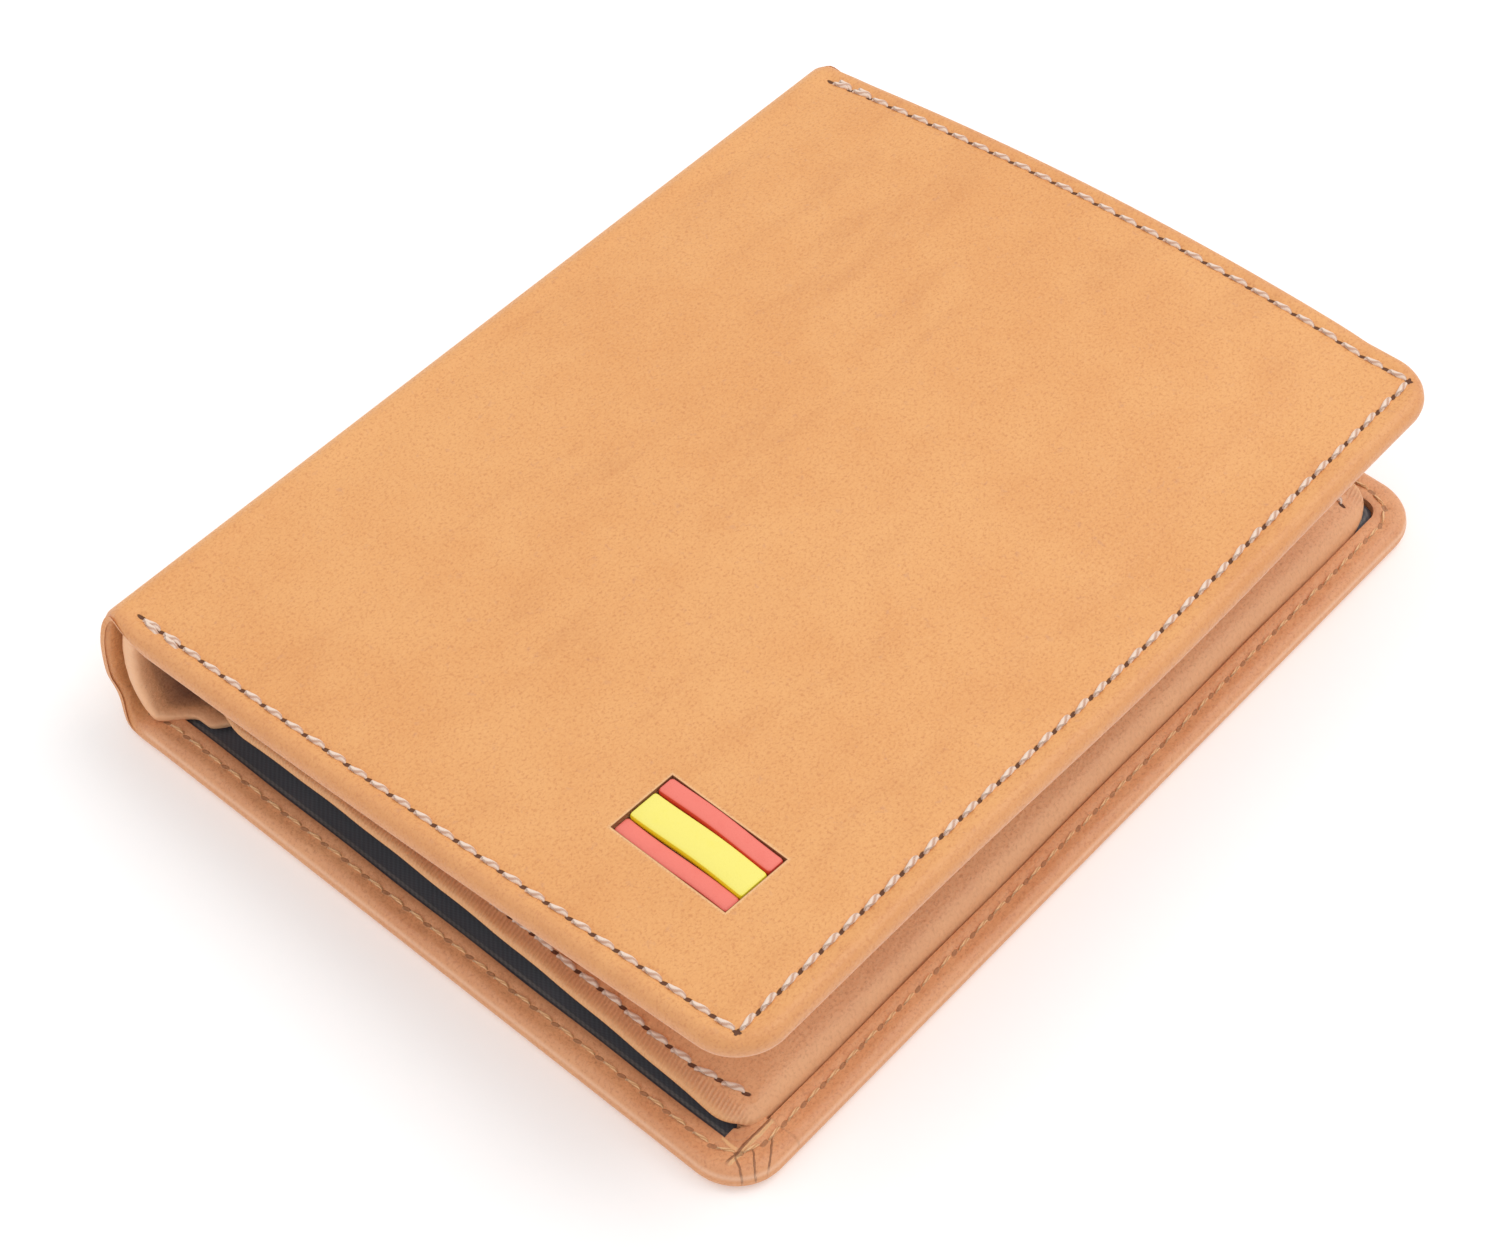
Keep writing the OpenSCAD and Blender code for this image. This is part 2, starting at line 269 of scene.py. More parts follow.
wallet_middle = (0, 0, 10)
softbox("far_softbox", (220, 400, 750), wallet_middle, 600, 2.6)
softbox("near_softbox", (-450, -350, 750), wallet_middle, 700, 1.1)
surroundings = bpy.data.worlds.new("light_tent")
surroundings.use_nodes = True
tent = surroundings.node_tree.nodes["Background"]
tent.inputs["Color"].default_value = (1.0, 1.0, 1.0, 1.0)
tent.inputs["Strength"].default_value = 0.76
bpy.context.scene.world = surroundings
print("stage ready")

# %% [markdown]
# Leather is cut flat, so every leather piece starts as a grid laid over the cutting pattern. The grid's
# lines stand close together where something happens, such as a stitch hole or a rounded edge. The grid
# is extruded once to give it a back, and the two faces are then moved to their heights.

# %% Cut a flat piece from a grid
def use_only(obj):
    if bpy.context.mode != "OBJECT":
        bpy.ops.object.mode_set(mode="OBJECT")
    bpy.ops.object.select_all(action="DESELECT")
    obj.select_set(True)
    bpy.context.view_layer.objects.active = obj


def points(obj):
    found = np.zeros(len(obj.data.vertices) * 3)
    obj.data.vertices.foreach_get("co", found)
    return found.reshape(-1, 3) / MM


def move_points(obj, places):
    obj.data.vertices.foreach_set("co", (np.asarray(places) * MM).ravel())
    obj.data.update()


def own_values(obj, name, values, kind="FLOAT_VECTOR"):
    field = "vector" if kind == "FLOAT_VECTOR" else "value"
    made = obj.data.attributes.get(name) or obj.data.attributes.new(name, kind, "POINT")
    made.data.foreach_set(field, np.asarray(values, np.float32).ravel())


def flat_grid(name, lines_u, lines_v):
    bpy.ops.object.select_all(action="DESELECT")
    bpy.ops.mesh.primitive_grid_add(x_subdivisions=len(lines_u) - 1, y_subdivisions=len(lines_v) - 1,
                                    size=2 * MM)
    obj = bpy.context.object
    obj.name = obj.data.name = name
    at = points(obj)
    at[:, 0] = np.interp(at[:, 0], np.linspace(-1, 1, len(lines_u)), lines_u)
    at[:, 1] = np.interp(at[:, 1], np.linspace(-1, 1, len(lines_v)), lines_v)
    move_points(obj, at)
    return obj


def outward(obj):
    use_only(obj)
    bpy.ops.object.mode_set(mode="EDIT")
    bpy.ops.mesh.select_all(action="SELECT")
    bpy.ops.mesh.normals_make_consistent(inside=False)
    bpy.ops.object.mode_set(mode="OBJECT")


def two_faced(name, lines_u, lines_v, outline, face, back):
    """A closed sheet over the pattern: outline moves points in the plane, face and back give heights."""
    obj = flat_grid(name, lines_u, lines_v)
    use_only(obj)
    bpy.ops.object.mode_set(mode="EDIT")
    bpy.ops.mesh.select_all(action="SELECT")
    bpy.ops.mesh.extrude_region_move(TRANSFORM_OT_translate={"value": (0, 0, -MM)})
    bpy.ops.object.mode_set(mode="OBJECT")
    at = points(obj)
    below = at[:, 2] < -0.5
    u, v = outline(at[:, 0], at[:, 1])
    move_points(obj, np.stack([u, v, np.where(below, back(u, v), face(u, v))], 1))
    outward(obj)
    return obj


def smooth_step(value, low, high):
    t = np.clip((np.asarray(value, float) - low) / (high - low), 0, 1)
    return t * t * (3 - 2 * t)


def rounded(d, radius):
    """How far a rounded edge has dropped at a distance d from the edge."""
    inside = np.clip(radius - d, 0, radius)
    return radius - np.sqrt(np.maximum(radius ** 2 - inside ** 2, 0))


def keep_straight(u, v):
    return u, v


print("cutting helpers ready")

# %% [markdown]
# A cover's outline is straight along the spine side and has two rounded corners at its free side. Grid
# lines near such a corner are drawn in towards its centre, so that they run round it at a constant
# distance from the edge, as a creased line does on real leather. The rim lines are the distances from the
# edge at which the grid is fine enough for the swollen border, the stitch holes and the end of the hem.

# %% Round the corners of a cover
corner_r = 6.2
rim_lines = (0, 0.12, 0.4, 0.8, 1.3, 1.8, 2.25, 2.6, 2.9, 3.3, 3.75, 4.15, 4.27, 4.8, 5.5, 6.02, 6.12)


def draw_corners(u, v, w, half, radius=corner_r):
    """Draws the grid in round the two corners at u = w and v = half or -half."""
    a, b = u - (w - radius), np.abs(v) - (half - radius)
    inward = np.maximum(a, b) / np.maximum(np.hypot(a, b), 1e-9)
    turn = (a > 0) & (b > 0)
    return (np.where(turn, w - radius + a * inward, u),
            np.where(turn, np.sign(v) * (half - radius + b * inward), v))


def to_edge(u, v, w, half, radius=corner_r):
    """Distance from the nearest free edge of a sheet with such corners."""
    a, b = u - (w - radius), np.abs(v) - (half - radius)
    return np.where((a > 0) & (b > 0), radius - np.hypot(a, b), np.minimum(w - u, half - np.abs(v)))


print("corner radius", corner_r)

# %% [markdown]
# A stitch row is a straight run of equal stitches, and its needle holes lie between the stitches. Each
# cover has three long rows, and on the back two short stitches lead from row to row round each corner.
# The rows also set the grid's lines, four to a stitch, so the leather can be pulled down at each hole.

# %% Plan the stitch rows
pitch_aim = 3.15


class Row:
    def __init__(self, start, end, count=None):
        self.start = np.array(start, float)
        self.end = np.array(end, float)
        self.run = float(np.linalg.norm(self.end - self.start))
        self.count = count or round(self.run / pitch_aim)
        self.pitch = self.run / self.count
        self.way = (self.end - self.start) / self.run

    def lines(self, axis):
        steps = np.linspace(0, 1, 4 * self.count + 1)
        return self.start[axis] + (self.end[axis] - self.start[axis]) * steps

    def near(self, u, v):
        """Distance along the row, and distance across it."""
        along = (u - self.start[0]) * self.way[0] + (v - self.start[1]) * self.way[1]
        across = (v - self.start[1]) * self.way[0] - (u - self.start[0]) * self.way[1]
        return along, across

    def pull(self, u, v):
        """Height lost under the row: a soft channel, deeper at each needle hole."""
        along, across = self.near(u, v)
        here = smooth_step(along, -1.5, 0.3) * smooth_step(-along, -self.run - 1.5, -self.run - 0.3)
        to_hole = (along / self.pitch + 0.5) % 1 - 0.5
        hole = np.exp(-(to_hole * self.pitch / 0.55) ** 2)
        channel = 0.16 * np.exp(-(across / 0.55) ** 2) + 0.10 * np.exp(-(across / 1.4) ** 2)
        return here * (channel + 0.20 * hole * np.exp(-(across / 0.5) ** 2))


def cover_rows(w, half, side_inset, free_inset, begin=3.2, turn=0.0):
    """The near, free and far rows; with a turn, two short stitches lead round each corner."""
    u1, v1 = w - free_inset, half - side_inset
    rows = [Row((begin, -v1), (u1 - turn, -v1)), Row((u1, turn - v1), (u1, v1 - turn)),
            Row((begin, v1), (u1 - turn, v1))]
    for side in (-1, 1) if turn else ():
        bend = (u1 - turn * 0.3, side * (v1 - turn * 0.3))
        rows.append(Row((u1 - turn, side * v1), bend, 1))
        rows.append(Row(bend, (u1, side * (v1 - turn)), 1))
    return rows


def cover_lines(w, half, rows, wrap_start):
    """Grid lines for a cover: fine at its rims, and following the stitches between them."""
    rim = np.array(rim_lines)
    along = rows[0].lines(0)
    first = np.arange(wrap_start, rows[0].start[0] - 0.3, 0.6)
    lines_u = np.concatenate([first, along[along < w - rim[-1] - 0.4], (w - rim)[::-1]])
    lines_u[0] = wrap_start
    across = rows[1].lines(1)
    middle = across[np.abs(across) < half - rim[-1] - 0.4]
    return lines_u, np.concatenate([-half + rim, middle, (half - rim)[::-1]])


front_rows = cover_rows(front_w, front_half, 2.8, 3.3)
back_rows = cover_rows(back_w, back_half, 2.6, 2.6, turn=3.8)
print("stitches on the front:", [row.count for row in front_rows])

# %% [markdown]
# Places on the wallet. A flat piece for the front has u from the fold towards the free edge, v along the
# spine and h for its height, with the outer face of the cover at `skin`. `on_front` wraps it round the
# upper fold, lets it sink and swell as soft leather does, and lays it at the front cover's angle.
# `on_back` does the same for the back, which lies flat on its outer face.

# %% Wrap flat leather onto the wallet
seam_z = 10.0                                   # where the two halves of the outer leather meet


def wrapped(u, h, tangent, radius, turn):
    """Round a fold: flat beyond the tangent, then an arc, then straight on."""
    run = np.maximum(tangent - u, 0)
    angle = np.minimum(run / radius, turn)
    rest = np.maximum(run - radius * turn, 0)
    reach = radius + (h - skin)
    flat = u >= tangent
    x = np.where(flat, u, tangent - reach * np.sin(angle) - rest * np.cos(turn))
    z = np.where(flat, h, skin - radius + reach * np.cos(angle) - rest * np.sin(turn))
    return x, z


front_tangent, front_radius, front_turn = 2.32, 4.0, math.pi / 2 - lift
back_tangent, back_radius, back_turn = 4.5, 6.0, math.pi / 2
front_wall = (top_fold_z + skin * math.cos(lift) + front_tangent * math.sin(lift)
              - front_radius * math.cos(lift) - seam_z)
back_wall = seam_z - back_radius
front_start = front_tangent - front_radius * front_turn - front_wall
back_start = back_tangent - back_radius * back_turn - back_wall


def swell(u, v):
    """How far the front cover stands above or below a flat board, which its soft filling allows."""
    t = (v + front_half) / (2 * front_half)
    arch = np.sin(math.pi * np.clip(u / front_w, 0, 1))
    valley = -0.66 * smooth_step(u, 0.6, 3.8) * (1 - smooth_step(u, 6, front_w))
    rise = np.sin(math.pi * np.clip((u - 2) / 80, 0, 1)) ** 0.8
    far = 2.5 * rise - 0.35 * smooth_step(u, 78, front_w)
    near = -0.9 * arch
    slack = -1.7 * np.exp(-((v - 9) / 28) ** 2) * smooth_step(u, 38, front_w)
    crown = 0.5 * arch * np.sin(math.pi * np.clip(t, 0, 1))
    blend = smooth_step(t, -0.1, 1.1)
    return valley + (1 - blend) * near + blend * far + slack + crown


def on_front(flat):
    u, v, h = flat.T
    x, z = wrapped(u, h, front_tangent, front_radius, front_turn)
    z = z + swell(u, v) * (u > 0)
    return np.stack([fold_x + x * math.cos(lift) - z * math.sin(lift), v,
                     top_fold_z + x * math.sin(lift) + z * math.cos(lift)], 1)


def on_back(flat):
    u, v, h = flat.T
    x, z = wrapped(u, h, back_tangent, back_radius, back_turn)
    return np.stack([fold_x + x, v, low_fold_z - z], 1)


spine_half = front_half + 0.3                   # half the length of the leather over the spine


def half_at(u, half):
    """Half the length of the leather: it narrows over the spine and is drawn in most at the fold."""
    drawn_in = 0.9 * np.exp(-((u + 1.5) / 3.0) ** 2)
    return spine_half + (half - spine_half) * smooth_step(u, -5, 3) - drawn_in


print(f"the outer leather runs {-front_start:.1f} and {-back_start:.1f} mm past the folds")

# %% [markdown]
# A finished piece gets its finish and smooth shading, and is told which body it moves with. Leather that
# crosses a fold is left in place, tied to no body; top_bend gives two places by the upper fold, where the
# cover ends and where the spine's wall begins, and is not used.

# %% Say how a piece moves
top_bend = [Vector((fold_x + a, 0, top_fold_z + b)) * MM for a, b in ((-0.35, -1.45), (1.6, 0.5))]


def settle(obj, finish, slot, moves, *nodes, angle=35):
    use_only(obj)
    obj.data.materials.clear()
    obj.data.materials.append(finish.material)
    bpy.ops.object.shade_smooth_by_angle(angle=math.radians(angle))
    if moves == "low fold":
        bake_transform(obj)
    elif moves == "top fold":
        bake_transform(obj)
    else:
        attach(obj, moves)
    if nodes:
        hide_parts(*nodes)
    print(f"{obj.name}: {len(obj.data.polygons)} faces, moves with the {moves}")


# %% [markdown]
# Saddle stitching leaves a slanted slit at each needle hole, and each slit is painted dark brown as painted
# shade inside the hole. The slits are drawn from the stitch rows themselves, so they always lie between the
# stitches. The pattern is read from the place on the flat leather, which the mesh keeps as an attribute, so
# it bends with the leather.

# %% Prick the needle holes
def needle_holes(finish, cut, rows, long=0.46, wide=0.26):
    """A mask that is 1 in each needle hole of these rows; the finish uses it for painted shade in the holes
    and for their dip.
    """
    u, v, _ = finish.axes(cut)
    found = None
    for row in rows:
        along = (u - row.start[0]) * row.way[0] + (v - row.start[1]) * row.way[1]
        across = (v - row.start[1]) * row.way[0] - (u - row.start[0]) * row.way[1]
        to_hole = ((along / row.pitch + 0.5).part() - 0.5) * row.pitch
        slant = to_hole - across * 0.7
        size = (slant / long) ** 2.0 + (across / wide) ** 2.0
        beside = along.spread(-0.6, -0.4) * (row.run - along).spread(-0.6, -0.4)
        mask = size.spread(1.25, 0.7) * beside
        found = mask if found is None else found.most(mask)
    return found


print("needle holes ready")

# %% [markdown]
# The leather is full-grain and dyed tan: a warm, cloudy colour with a fine nap of dark and light, small
# pinkish specks, and browner edges where the turned leather is stretched and burnished. On a cover the
# hem shows another face of the hide, so it takes its own browner tones, and its inner side, which lies
# deeper under the cover's edge, is painted darker as painted shade. The spine's inner leather takes
# painted shade tones for its hollow in place of hem tones, and each needle hole is painted dark as
# painted shade. A piece that needs more than that brings its own details, which are the next cells'
# functions.

# %% Mix the finish of a leather
def leather(name, light, mid, dark, edge, rows=(), worn=0.35, hem_or_shade_tones=None, detail=None):
    hide = Finish(name, Specular_IOR_Level=0.42)
    flat = hide.own("flat")
    cut = hide.own("cut")
    rim = hide.own_number("rim")
    hem = hide.own_number("hem")
    clouds = hide.noise(flat, 0.028, 3.0, 0.55, 0.4)
    mottle = hide.noise(flat, 0.14, 5.0, 0.62, 0.3)
    streak = hide.noise(hide.stretched(flat, 0.5, 0.12, 0.5), 0.35, 4.0, 0.6, 0.6)
    specks = hide.noise(flat, 0.9, 3.0, 0.65, 0.3)
    nap = hide.noise(hide.stretched(flat, 1.0, 0.75, 1.0), 3.4, 3.0, 0.66, 0.4)
    # On a cover these tones are the hem's own browner tones; on the spine's inner leather they are painted
    # shade for its hollow.
    if hem_or_shade_tones:
        light, mid, dark = (hide.blend(a, b, hem) for a, b in zip((light, mid, dark), hem_or_shade_tones))
    colour = hide.blend(mid, light, (clouds * 0.5 + mottle * 0.5).spread(0.34, 0.66) * 0.60)
    colour = hide.blend(colour, dark, streak.spread(0.50, 0.20) * 0.22)
    colour = hide.blend(colour, dark, nap.spread(0.48, 0.70) * 0.46)
    colour = hide.blend(colour, light, nap.spread(0.48, 0.28) * 0.50)
    colour = hide.blend(colour, tone(196, 140, 112), specks.spread(0.60, 0.78) * 0.36)
    burnish = (rim + (mottle - 0.5) * 2.4).spread(2.6, 0.1)
    colour = hide.blend(colour, edge, burnish * worn)
    grain = hide.cells(hide.stretched(flat, 1.0, 0.8, 1.0), 2.2)
    crease = hide.noise(hide.stretched(flat, 1.0, 0.35, 1.0), 0.55, 4.0, 0.6, 0.8)
    height = grain * 0.5 + nap * 0.6 + crease * 0.5
    polish = 0.50 + (nap - 0.5) * 0.25 + (mottle - 0.5) * 0.15 - burnish * 0.08
    if hem_or_shade_tones:
        # The hem's inner side, deeper under the cover's edge, is painted darker, most near the short sides:
        # painted shade.
        short_side = abs(hide.axes(cut)[1]).spread(front_half - 7, front_half - 4)
        inner_side_shade = (rim + (mottle - 0.5) * 2.0).spread(2.0, 4.4) * hem
        colour = hide.blend(colour, dark, inner_side_shade * (short_side * 0.34 + 0.10))
    if detail:
        hide.mottle, hide.specks = mottle, specks
        colour, height = detail(hide, colour, height)
    if rows:
        holes = needle_holes(hide, cut, rows)
        if hem_or_shade_tones:
            holes = holes * (1 - hem * 0.55)
            lip = (0 - hide.axes(cut)[2]).spread(0.2, 0.9) * rim.spread(0.45, 0.05)
            colour = hide.blend(colour, tone(250, 208, 176), lip * 0.6)
        # Each needle hole is painted dark brown: painted shade inside the hole.
        colour = hide.blend(colour, tone(84, 48, 36), holes * 0.93)
        height = height - holes * 3.0
        polish = polish + holes * 0.3
    hide.colour(colour)
    hide.rough(polish)
    hide.relief(height, 0.16, 0.6)
    return hide


print("leather ready to mix")

# %% [markdown]
# The inlay's window is cut through the front leather with a hot die. The cut wall is painted dark brown,
# darkest at its top, as painted shade in the narrow gap beside the strips; just outside it lies a pale
# frayed rim where the fibres stand up.

# %% Fray the rim of the inlay's window
inlay_l, inlay_w, inlay_turn = 16.4, 9.0, math.radians(-3)
inlay_middle = np.array((front_w - 21.7, -front_half + 17.9))


def frayed_window(hide, colour, height):
    u, v, h = hide.axes(hide.own("cut"))
    c, s = math.cos(inlay_turn), math.sin(inlay_turn)
    a, b = u - float(inlay_middle[0]), v - float(inlay_middle[1])
    beyond = (abs(a * c + b * s) - inlay_l / 2).most(abs(b * c - a * s) - inlay_w / 2)
    fibres = hide.noise(hide.own("flat"), 4.0, 3.0, 0.7)
    frayed = (beyond + (fibres - 0.5) * 0.7).spread(0.42, 0.05)
    colour = hide.blend(colour, tone(250, 206, 156), frayed * 0.55)
    # The cut wall is painted dark brown, darkest at its top: painted shade in the gap beside the strips.
    cut_wall_shade = beyond.spread(0.10, 0.0) * h.spread(0.3, 1.45).most(0.45)
    colour = hide.blend(colour, tone(132, 78, 44), cut_wall_shade * 0.85)
    return colour, height + frayed * fibres * 1.2 - beyond.spread(0.8, 0.0) * 0.8


print("window at", inlay_middle)

# %% [markdown]
# At a rounded corner the turned-in leather is too long for the inside of the bend, so it is gathered in
# pleats and its raw end is tucked under the hem of the next side. Only the corner by the free and the
# bottom edge is seen from close by, so only that corner has them. A pleat is a dip with a dark line of
# painted shade along it, and a thin line of painted shadow lies beside the step of the tucked hem.

# %% Gather the hem in pleats
pleat_lines = ((2.2, 0.95, 0.5, 3.4), (4.0, 1.45, 0.2, 3.0), (0.9, 0.6, 1.2, 4.6))  # start, slope, from, to


def pleats(hide, colour, height):
    hem = hide.own_number("hem")
    u, v, _ = hide.axes(hide.own("cut"))
    free, near = back_w - u, back_half + v        # distances from the free and from the bottom edge
    wobble = (hide.specks - 0.5) * 0.5 + (hide.mottle - 0.5) * 0.5
    # The pleats' dark lines are painted shade in their creases.
    pleat_shade = None
    for start, slope, low, high in pleat_lines:
        across = (near - start - free * slope + wobble) / math.hypot(1, slope)
        fold = abs(across).spread(0.15, 0.03) * free.spread(low, low + 0.4) * free.spread(high, high - 1.0)
        pleat_shade = fold if pleat_shade is None else pleat_shade.most(fold)
    beside = near.spread(1.7, 2.5) * near.spread(9.2, 8.8)
    step = 3.6 - free + wobble * 0.6
    tuck = near - 3.9 + wobble
    inside = free.spread(4.0, 4.4) * free.spread(6.4, 6.1)
    raw = (abs(step).spread(0.26, 0.12) * beside).most(abs(tuck).spread(0.30, 0.10) * inside) * hem
    # A thin line of painted shadow beside the step of the tucked hem.
    under = abs(step + 0.36).spread(0.18, 0.05) * beside
    pleat_shade = pleat_shade.most(under) * hem
    colour = hide.blend(colour, tone(246, 202, 146), raw * 0.65)
    colour = hide.blend(colour, tone(104, 60, 42), pleat_shade * 0.60)
    return colour, height - pleat_shade * 2.4 + step.spread(-0.1, 0.15) * beside * hem * 1.8


print("pleats:", len(pleat_lines))

# %% [markdown]
# The outer leather is tan on its face and browner on its hems, and the leather inside is as brown as the
# hems. The front's leather has the window, and the back's has the pleats.

# %% Dye the leathers
hem_w = 4.2                                     # width of the leather turned in over a cover's edge
tans = tone(238, 177, 114), tone(229, 162, 99), tone(190, 116, 68), tone(208, 136, 94)
# Painted shade tones for the hollow inside the spine's C.
browns = tone(241, 183, 134), tone(230, 167, 120), tone(182, 114, 78)
hollow_shade_tones = tone(158, 114, 88), tone(138, 98, 76), tone(92, 58, 46)
front_leather = leather("tan_leather_front", *tans, front_rows, hem_or_shade_tones=browns, detail=frayed_window)
back_leather = leather("tan_leather_back", *tans, back_rows, hem_or_shade_tones=browns, detail=pleats)
inner_leather = leather("inner_leather", *browns, tone(226, 172, 134), worn=0.5)
print("leathers dyed")

# %% [markdown]
# The outer leather of a bifold is one piece that runs from one cover over the spine to the other, with
# its edges turned in over the boards. Here it is made as two halves that meet on the spine's wall,
# because each half may bend across one fold only. The border swells a little between the stitches and
# the edge, the edge itself is fully round, and the turned hem stands on the inside. On the back, the
# tucked end of the hem reaches a little further in at the corner with the pleats.

# %% Shape a cover's leather
leather_t = 1.2
spine_leather_t = 1.3


def cover_leather(name, w, half, rows, start, wavy=0.0, tuck=0.0):
    """The flat leather of one cover; wavy is the height of its hem's waves, tuck the tuck's reach."""
    lines_u, lines_v = cover_lines(w, half, rows, start)

    def shrink(u, v):
        u, v = draw_corners(u, v, w, half)
        return u, v * half_at(u, half) / half

    def face(u, v):
        d = to_edge(u, v * half / half_at(u, half), w, half)
        edge = 0.98 + 0.40 * smooth_step(u, 2.5, 9)
        border = 0.16 * np.exp(-((d - 1.45) / 0.75) ** 2) * smooth_step(u, 0, 3)
        pulled = np.max([row.pull(u, v) for row in rows], axis=0)
        return skin - rounded(d, edge) + border - pulled

    def back(u, v):
        d = to_edge(u, v * half / half_at(u, half), w, half)
        on_cover = smooth_step(u, 0.8, 6.6)
        hem = (d < hem_w + 0.02) | ((u > w - tuck) & (v < 9 - half))
        low = np.where(hem, -skin, skin - leather_t)
        low = (skin - spine_leather_t) * (1 - on_cover) + low * on_cover
        edge = 0.98 + 0.40 * on_cover
        pulled = np.max([row.pull(u, v) for row in rows], axis=0) * hem * on_cover
        raw = 0.10 * smooth_step(d, hem_w - 0.5, hem_w) * hem * (d < hem_w + 0.02)
        puff = wavy * np.sin(u * 0.33 + v * 0.21) * hem * smooth_step(d, 0.4, 2) * on_cover
        return low + np.where(hem, rounded(d, edge), 0) + 0.8 * pulled + raw + puff

    return two_faced(name, lines_u, lines_v, shrink, face, back)


def remember(obj, w, half, mirrored=False):
    """Keeps the flat place, the distance from the edge and which side is the hem's, for the finish."""
    cut = points(obj)
    u, v, h = cut.T
    edge = to_edge(u, v * half / half_at(u, half), w, half)
    flat = cut.copy()
    if mirrored:
        flat[:, 0] = front_start - (u - back_start)
    own_values(obj, "cut", cut)
    own_values(obj, "flat", flat)
    own_values(obj, "rim", edge, "FLOAT")
    own_values(obj, "hem", smooth_step(-h, -0.9, 0.9), "FLOAT")


outer_front = cover_leather("outer_leather_front", front_w, front_half, front_rows, front_start)
outer_back = cover_leather("outer_leather_back", back_w, back_half, back_rows, back_start,
                           wavy=0.10, tuck=6.06)
print("front half:", len(outer_front.data.polygons), "faces")

# %% [markdown]
# The inlay lies in a window that is die-cut through the front leather. The window is cut with a block
# while the leather is still flat, and the three coloured strips are laid into it afterwards.

# %% Cut the window for the inlay
def on_inlay(flat):
    """Turns places on the inlay, whose middle is the origin, into places on the flat front."""
    turned = flat.copy()
    turned[:, 0] = inlay_middle[0] + flat[:, 0] * math.cos(inlay_turn) - flat[:, 1] * math.sin(inlay_turn)
    turned[:, 1] = inlay_middle[1] + flat[:, 0] * math.sin(inlay_turn) + flat[:, 1] * math.cos(inlay_turn)
    return turned


def block(name, low, high, bevel=0.0):
    """A cube moved to its corners, with its edges bevelled."""
    bpy.ops.object.select_all(action="DESELECT")
    bpy.ops.mesh.primitive_cube_add(size=2 * MM)
    obj = bpy.context.object
    obj.name = obj.data.name = name
    at = points(obj)
    low, high = np.array(low, float), np.array(high, float)
    move_points(obj, (low + high) / 2 + at * (high - low) / 2)
    if bevel:
        bpy.ops.object.mode_set(mode="EDIT")
        bpy.ops.mesh.select_all(action="SELECT")
        bpy.ops.mesh.bevel(offset=bevel * MM, segments=2, affect="EDGES", clamp_overlap=True)
        bpy.ops.object.mode_set(mode="OBJECT")
    return obj


def cut_out(obj, tool):
    """Takes the tool's shape out of the piece, and the tool away."""
    use_only(obj)
    taken = obj.modifiers.new("cut_out", "BOOLEAN")
    taken.object = tool
    taken.operation = "DIFFERENCE"
    taken.solver = "EXACT"
    bpy.ops.object.modifier_apply(modifier=taken.name)
    bpy.data.objects.remove(tool)


punch = block("punch", (-inlay_l / 2, -inlay_w / 2, -0.4), (inlay_l / 2, inlay_w / 2, 3.0))
move_points(punch, on_inlay(points(punch)))
cut_out(outer_front, punch)
print("after the window:", len(outer_front.data.polygons), "faces")

# %% [markdown]
# While the leather is flat, its mesh keeps the places that the finish reads. Only then is it wrapped. The
# back's half is turned over on its way, which turns its faces inside out, so its normals are made anew.

# %% Wrap the outer leather and set it on the wallet
remember(outer_front, front_w, front_half)
move_points(outer_front, on_front(points(outer_front)))
settle(outer_front, front_leather, "outer_leather", "top fold", "front_cover", "spine_cover")
remember(outer_back, back_w, back_half, mirrored=True)
move_points(outer_back, on_back(points(outer_back)))
outward(outer_back)
settle(outer_back, back_leather, "outer_leather", "low fold", "back_cover")
print("outer leather done")

# %% [markdown]
# The thread is a thick two-ply linen, ecru on the outside and golden on the hems. One stitch is modelled
# from a cylinder: its section is squeezed to an oval and twisted along its length, and its ends dive
# into the needle holes.

# %% Spin one stitch
def spin_stitch(name, long, thick, turns=0.75, sides=8, rings=9):
    bpy.ops.object.select_all(action="DESELECT")
    bpy.ops.mesh.primitive_cylinder_add(vertices=sides, radius=thick / 2 * MM, depth=long * MM,
                                        end_fill_type="NGON")
    obj = bpy.context.object
    obj.name = obj.data.name = name
    bpy.ops.object.mode_set(mode="EDIT")
    for i in range(1, rings):
        bpy.ops.mesh.select_all(action="SELECT")
        bpy.ops.mesh.bisect(plane_co=(0, 0, (i / rings - 0.5) * long * MM), plane_no=(0, 0, 1))
    bpy.ops.object.mode_set(mode="OBJECT")
    x, y, z = points(obj).T
    t = z / long                                     # from -0.5 to 0.5
    full = np.sqrt(np.maximum(1 - (np.abs(t) * 1.80) ** 6, 0.16))
    angle = t * 2 * math.pi * turns
    across, up = x * 1.08 * full, y * 0.84 * full
    a = across * np.cos(angle) - up * np.sin(angle)
    b = across * np.sin(angle) + up * np.cos(angle)
    dive = -0.62 * (np.abs(t) * 2) ** 6
    own = np.stack([z, np.arctan2(y, x), np.hypot(x, y)], 1)
    move_points(obj, np.stack([z, a, b + dive + 0.12], 1))
    own_values(obj, "ply", own)
    outward(obj)
    return obj


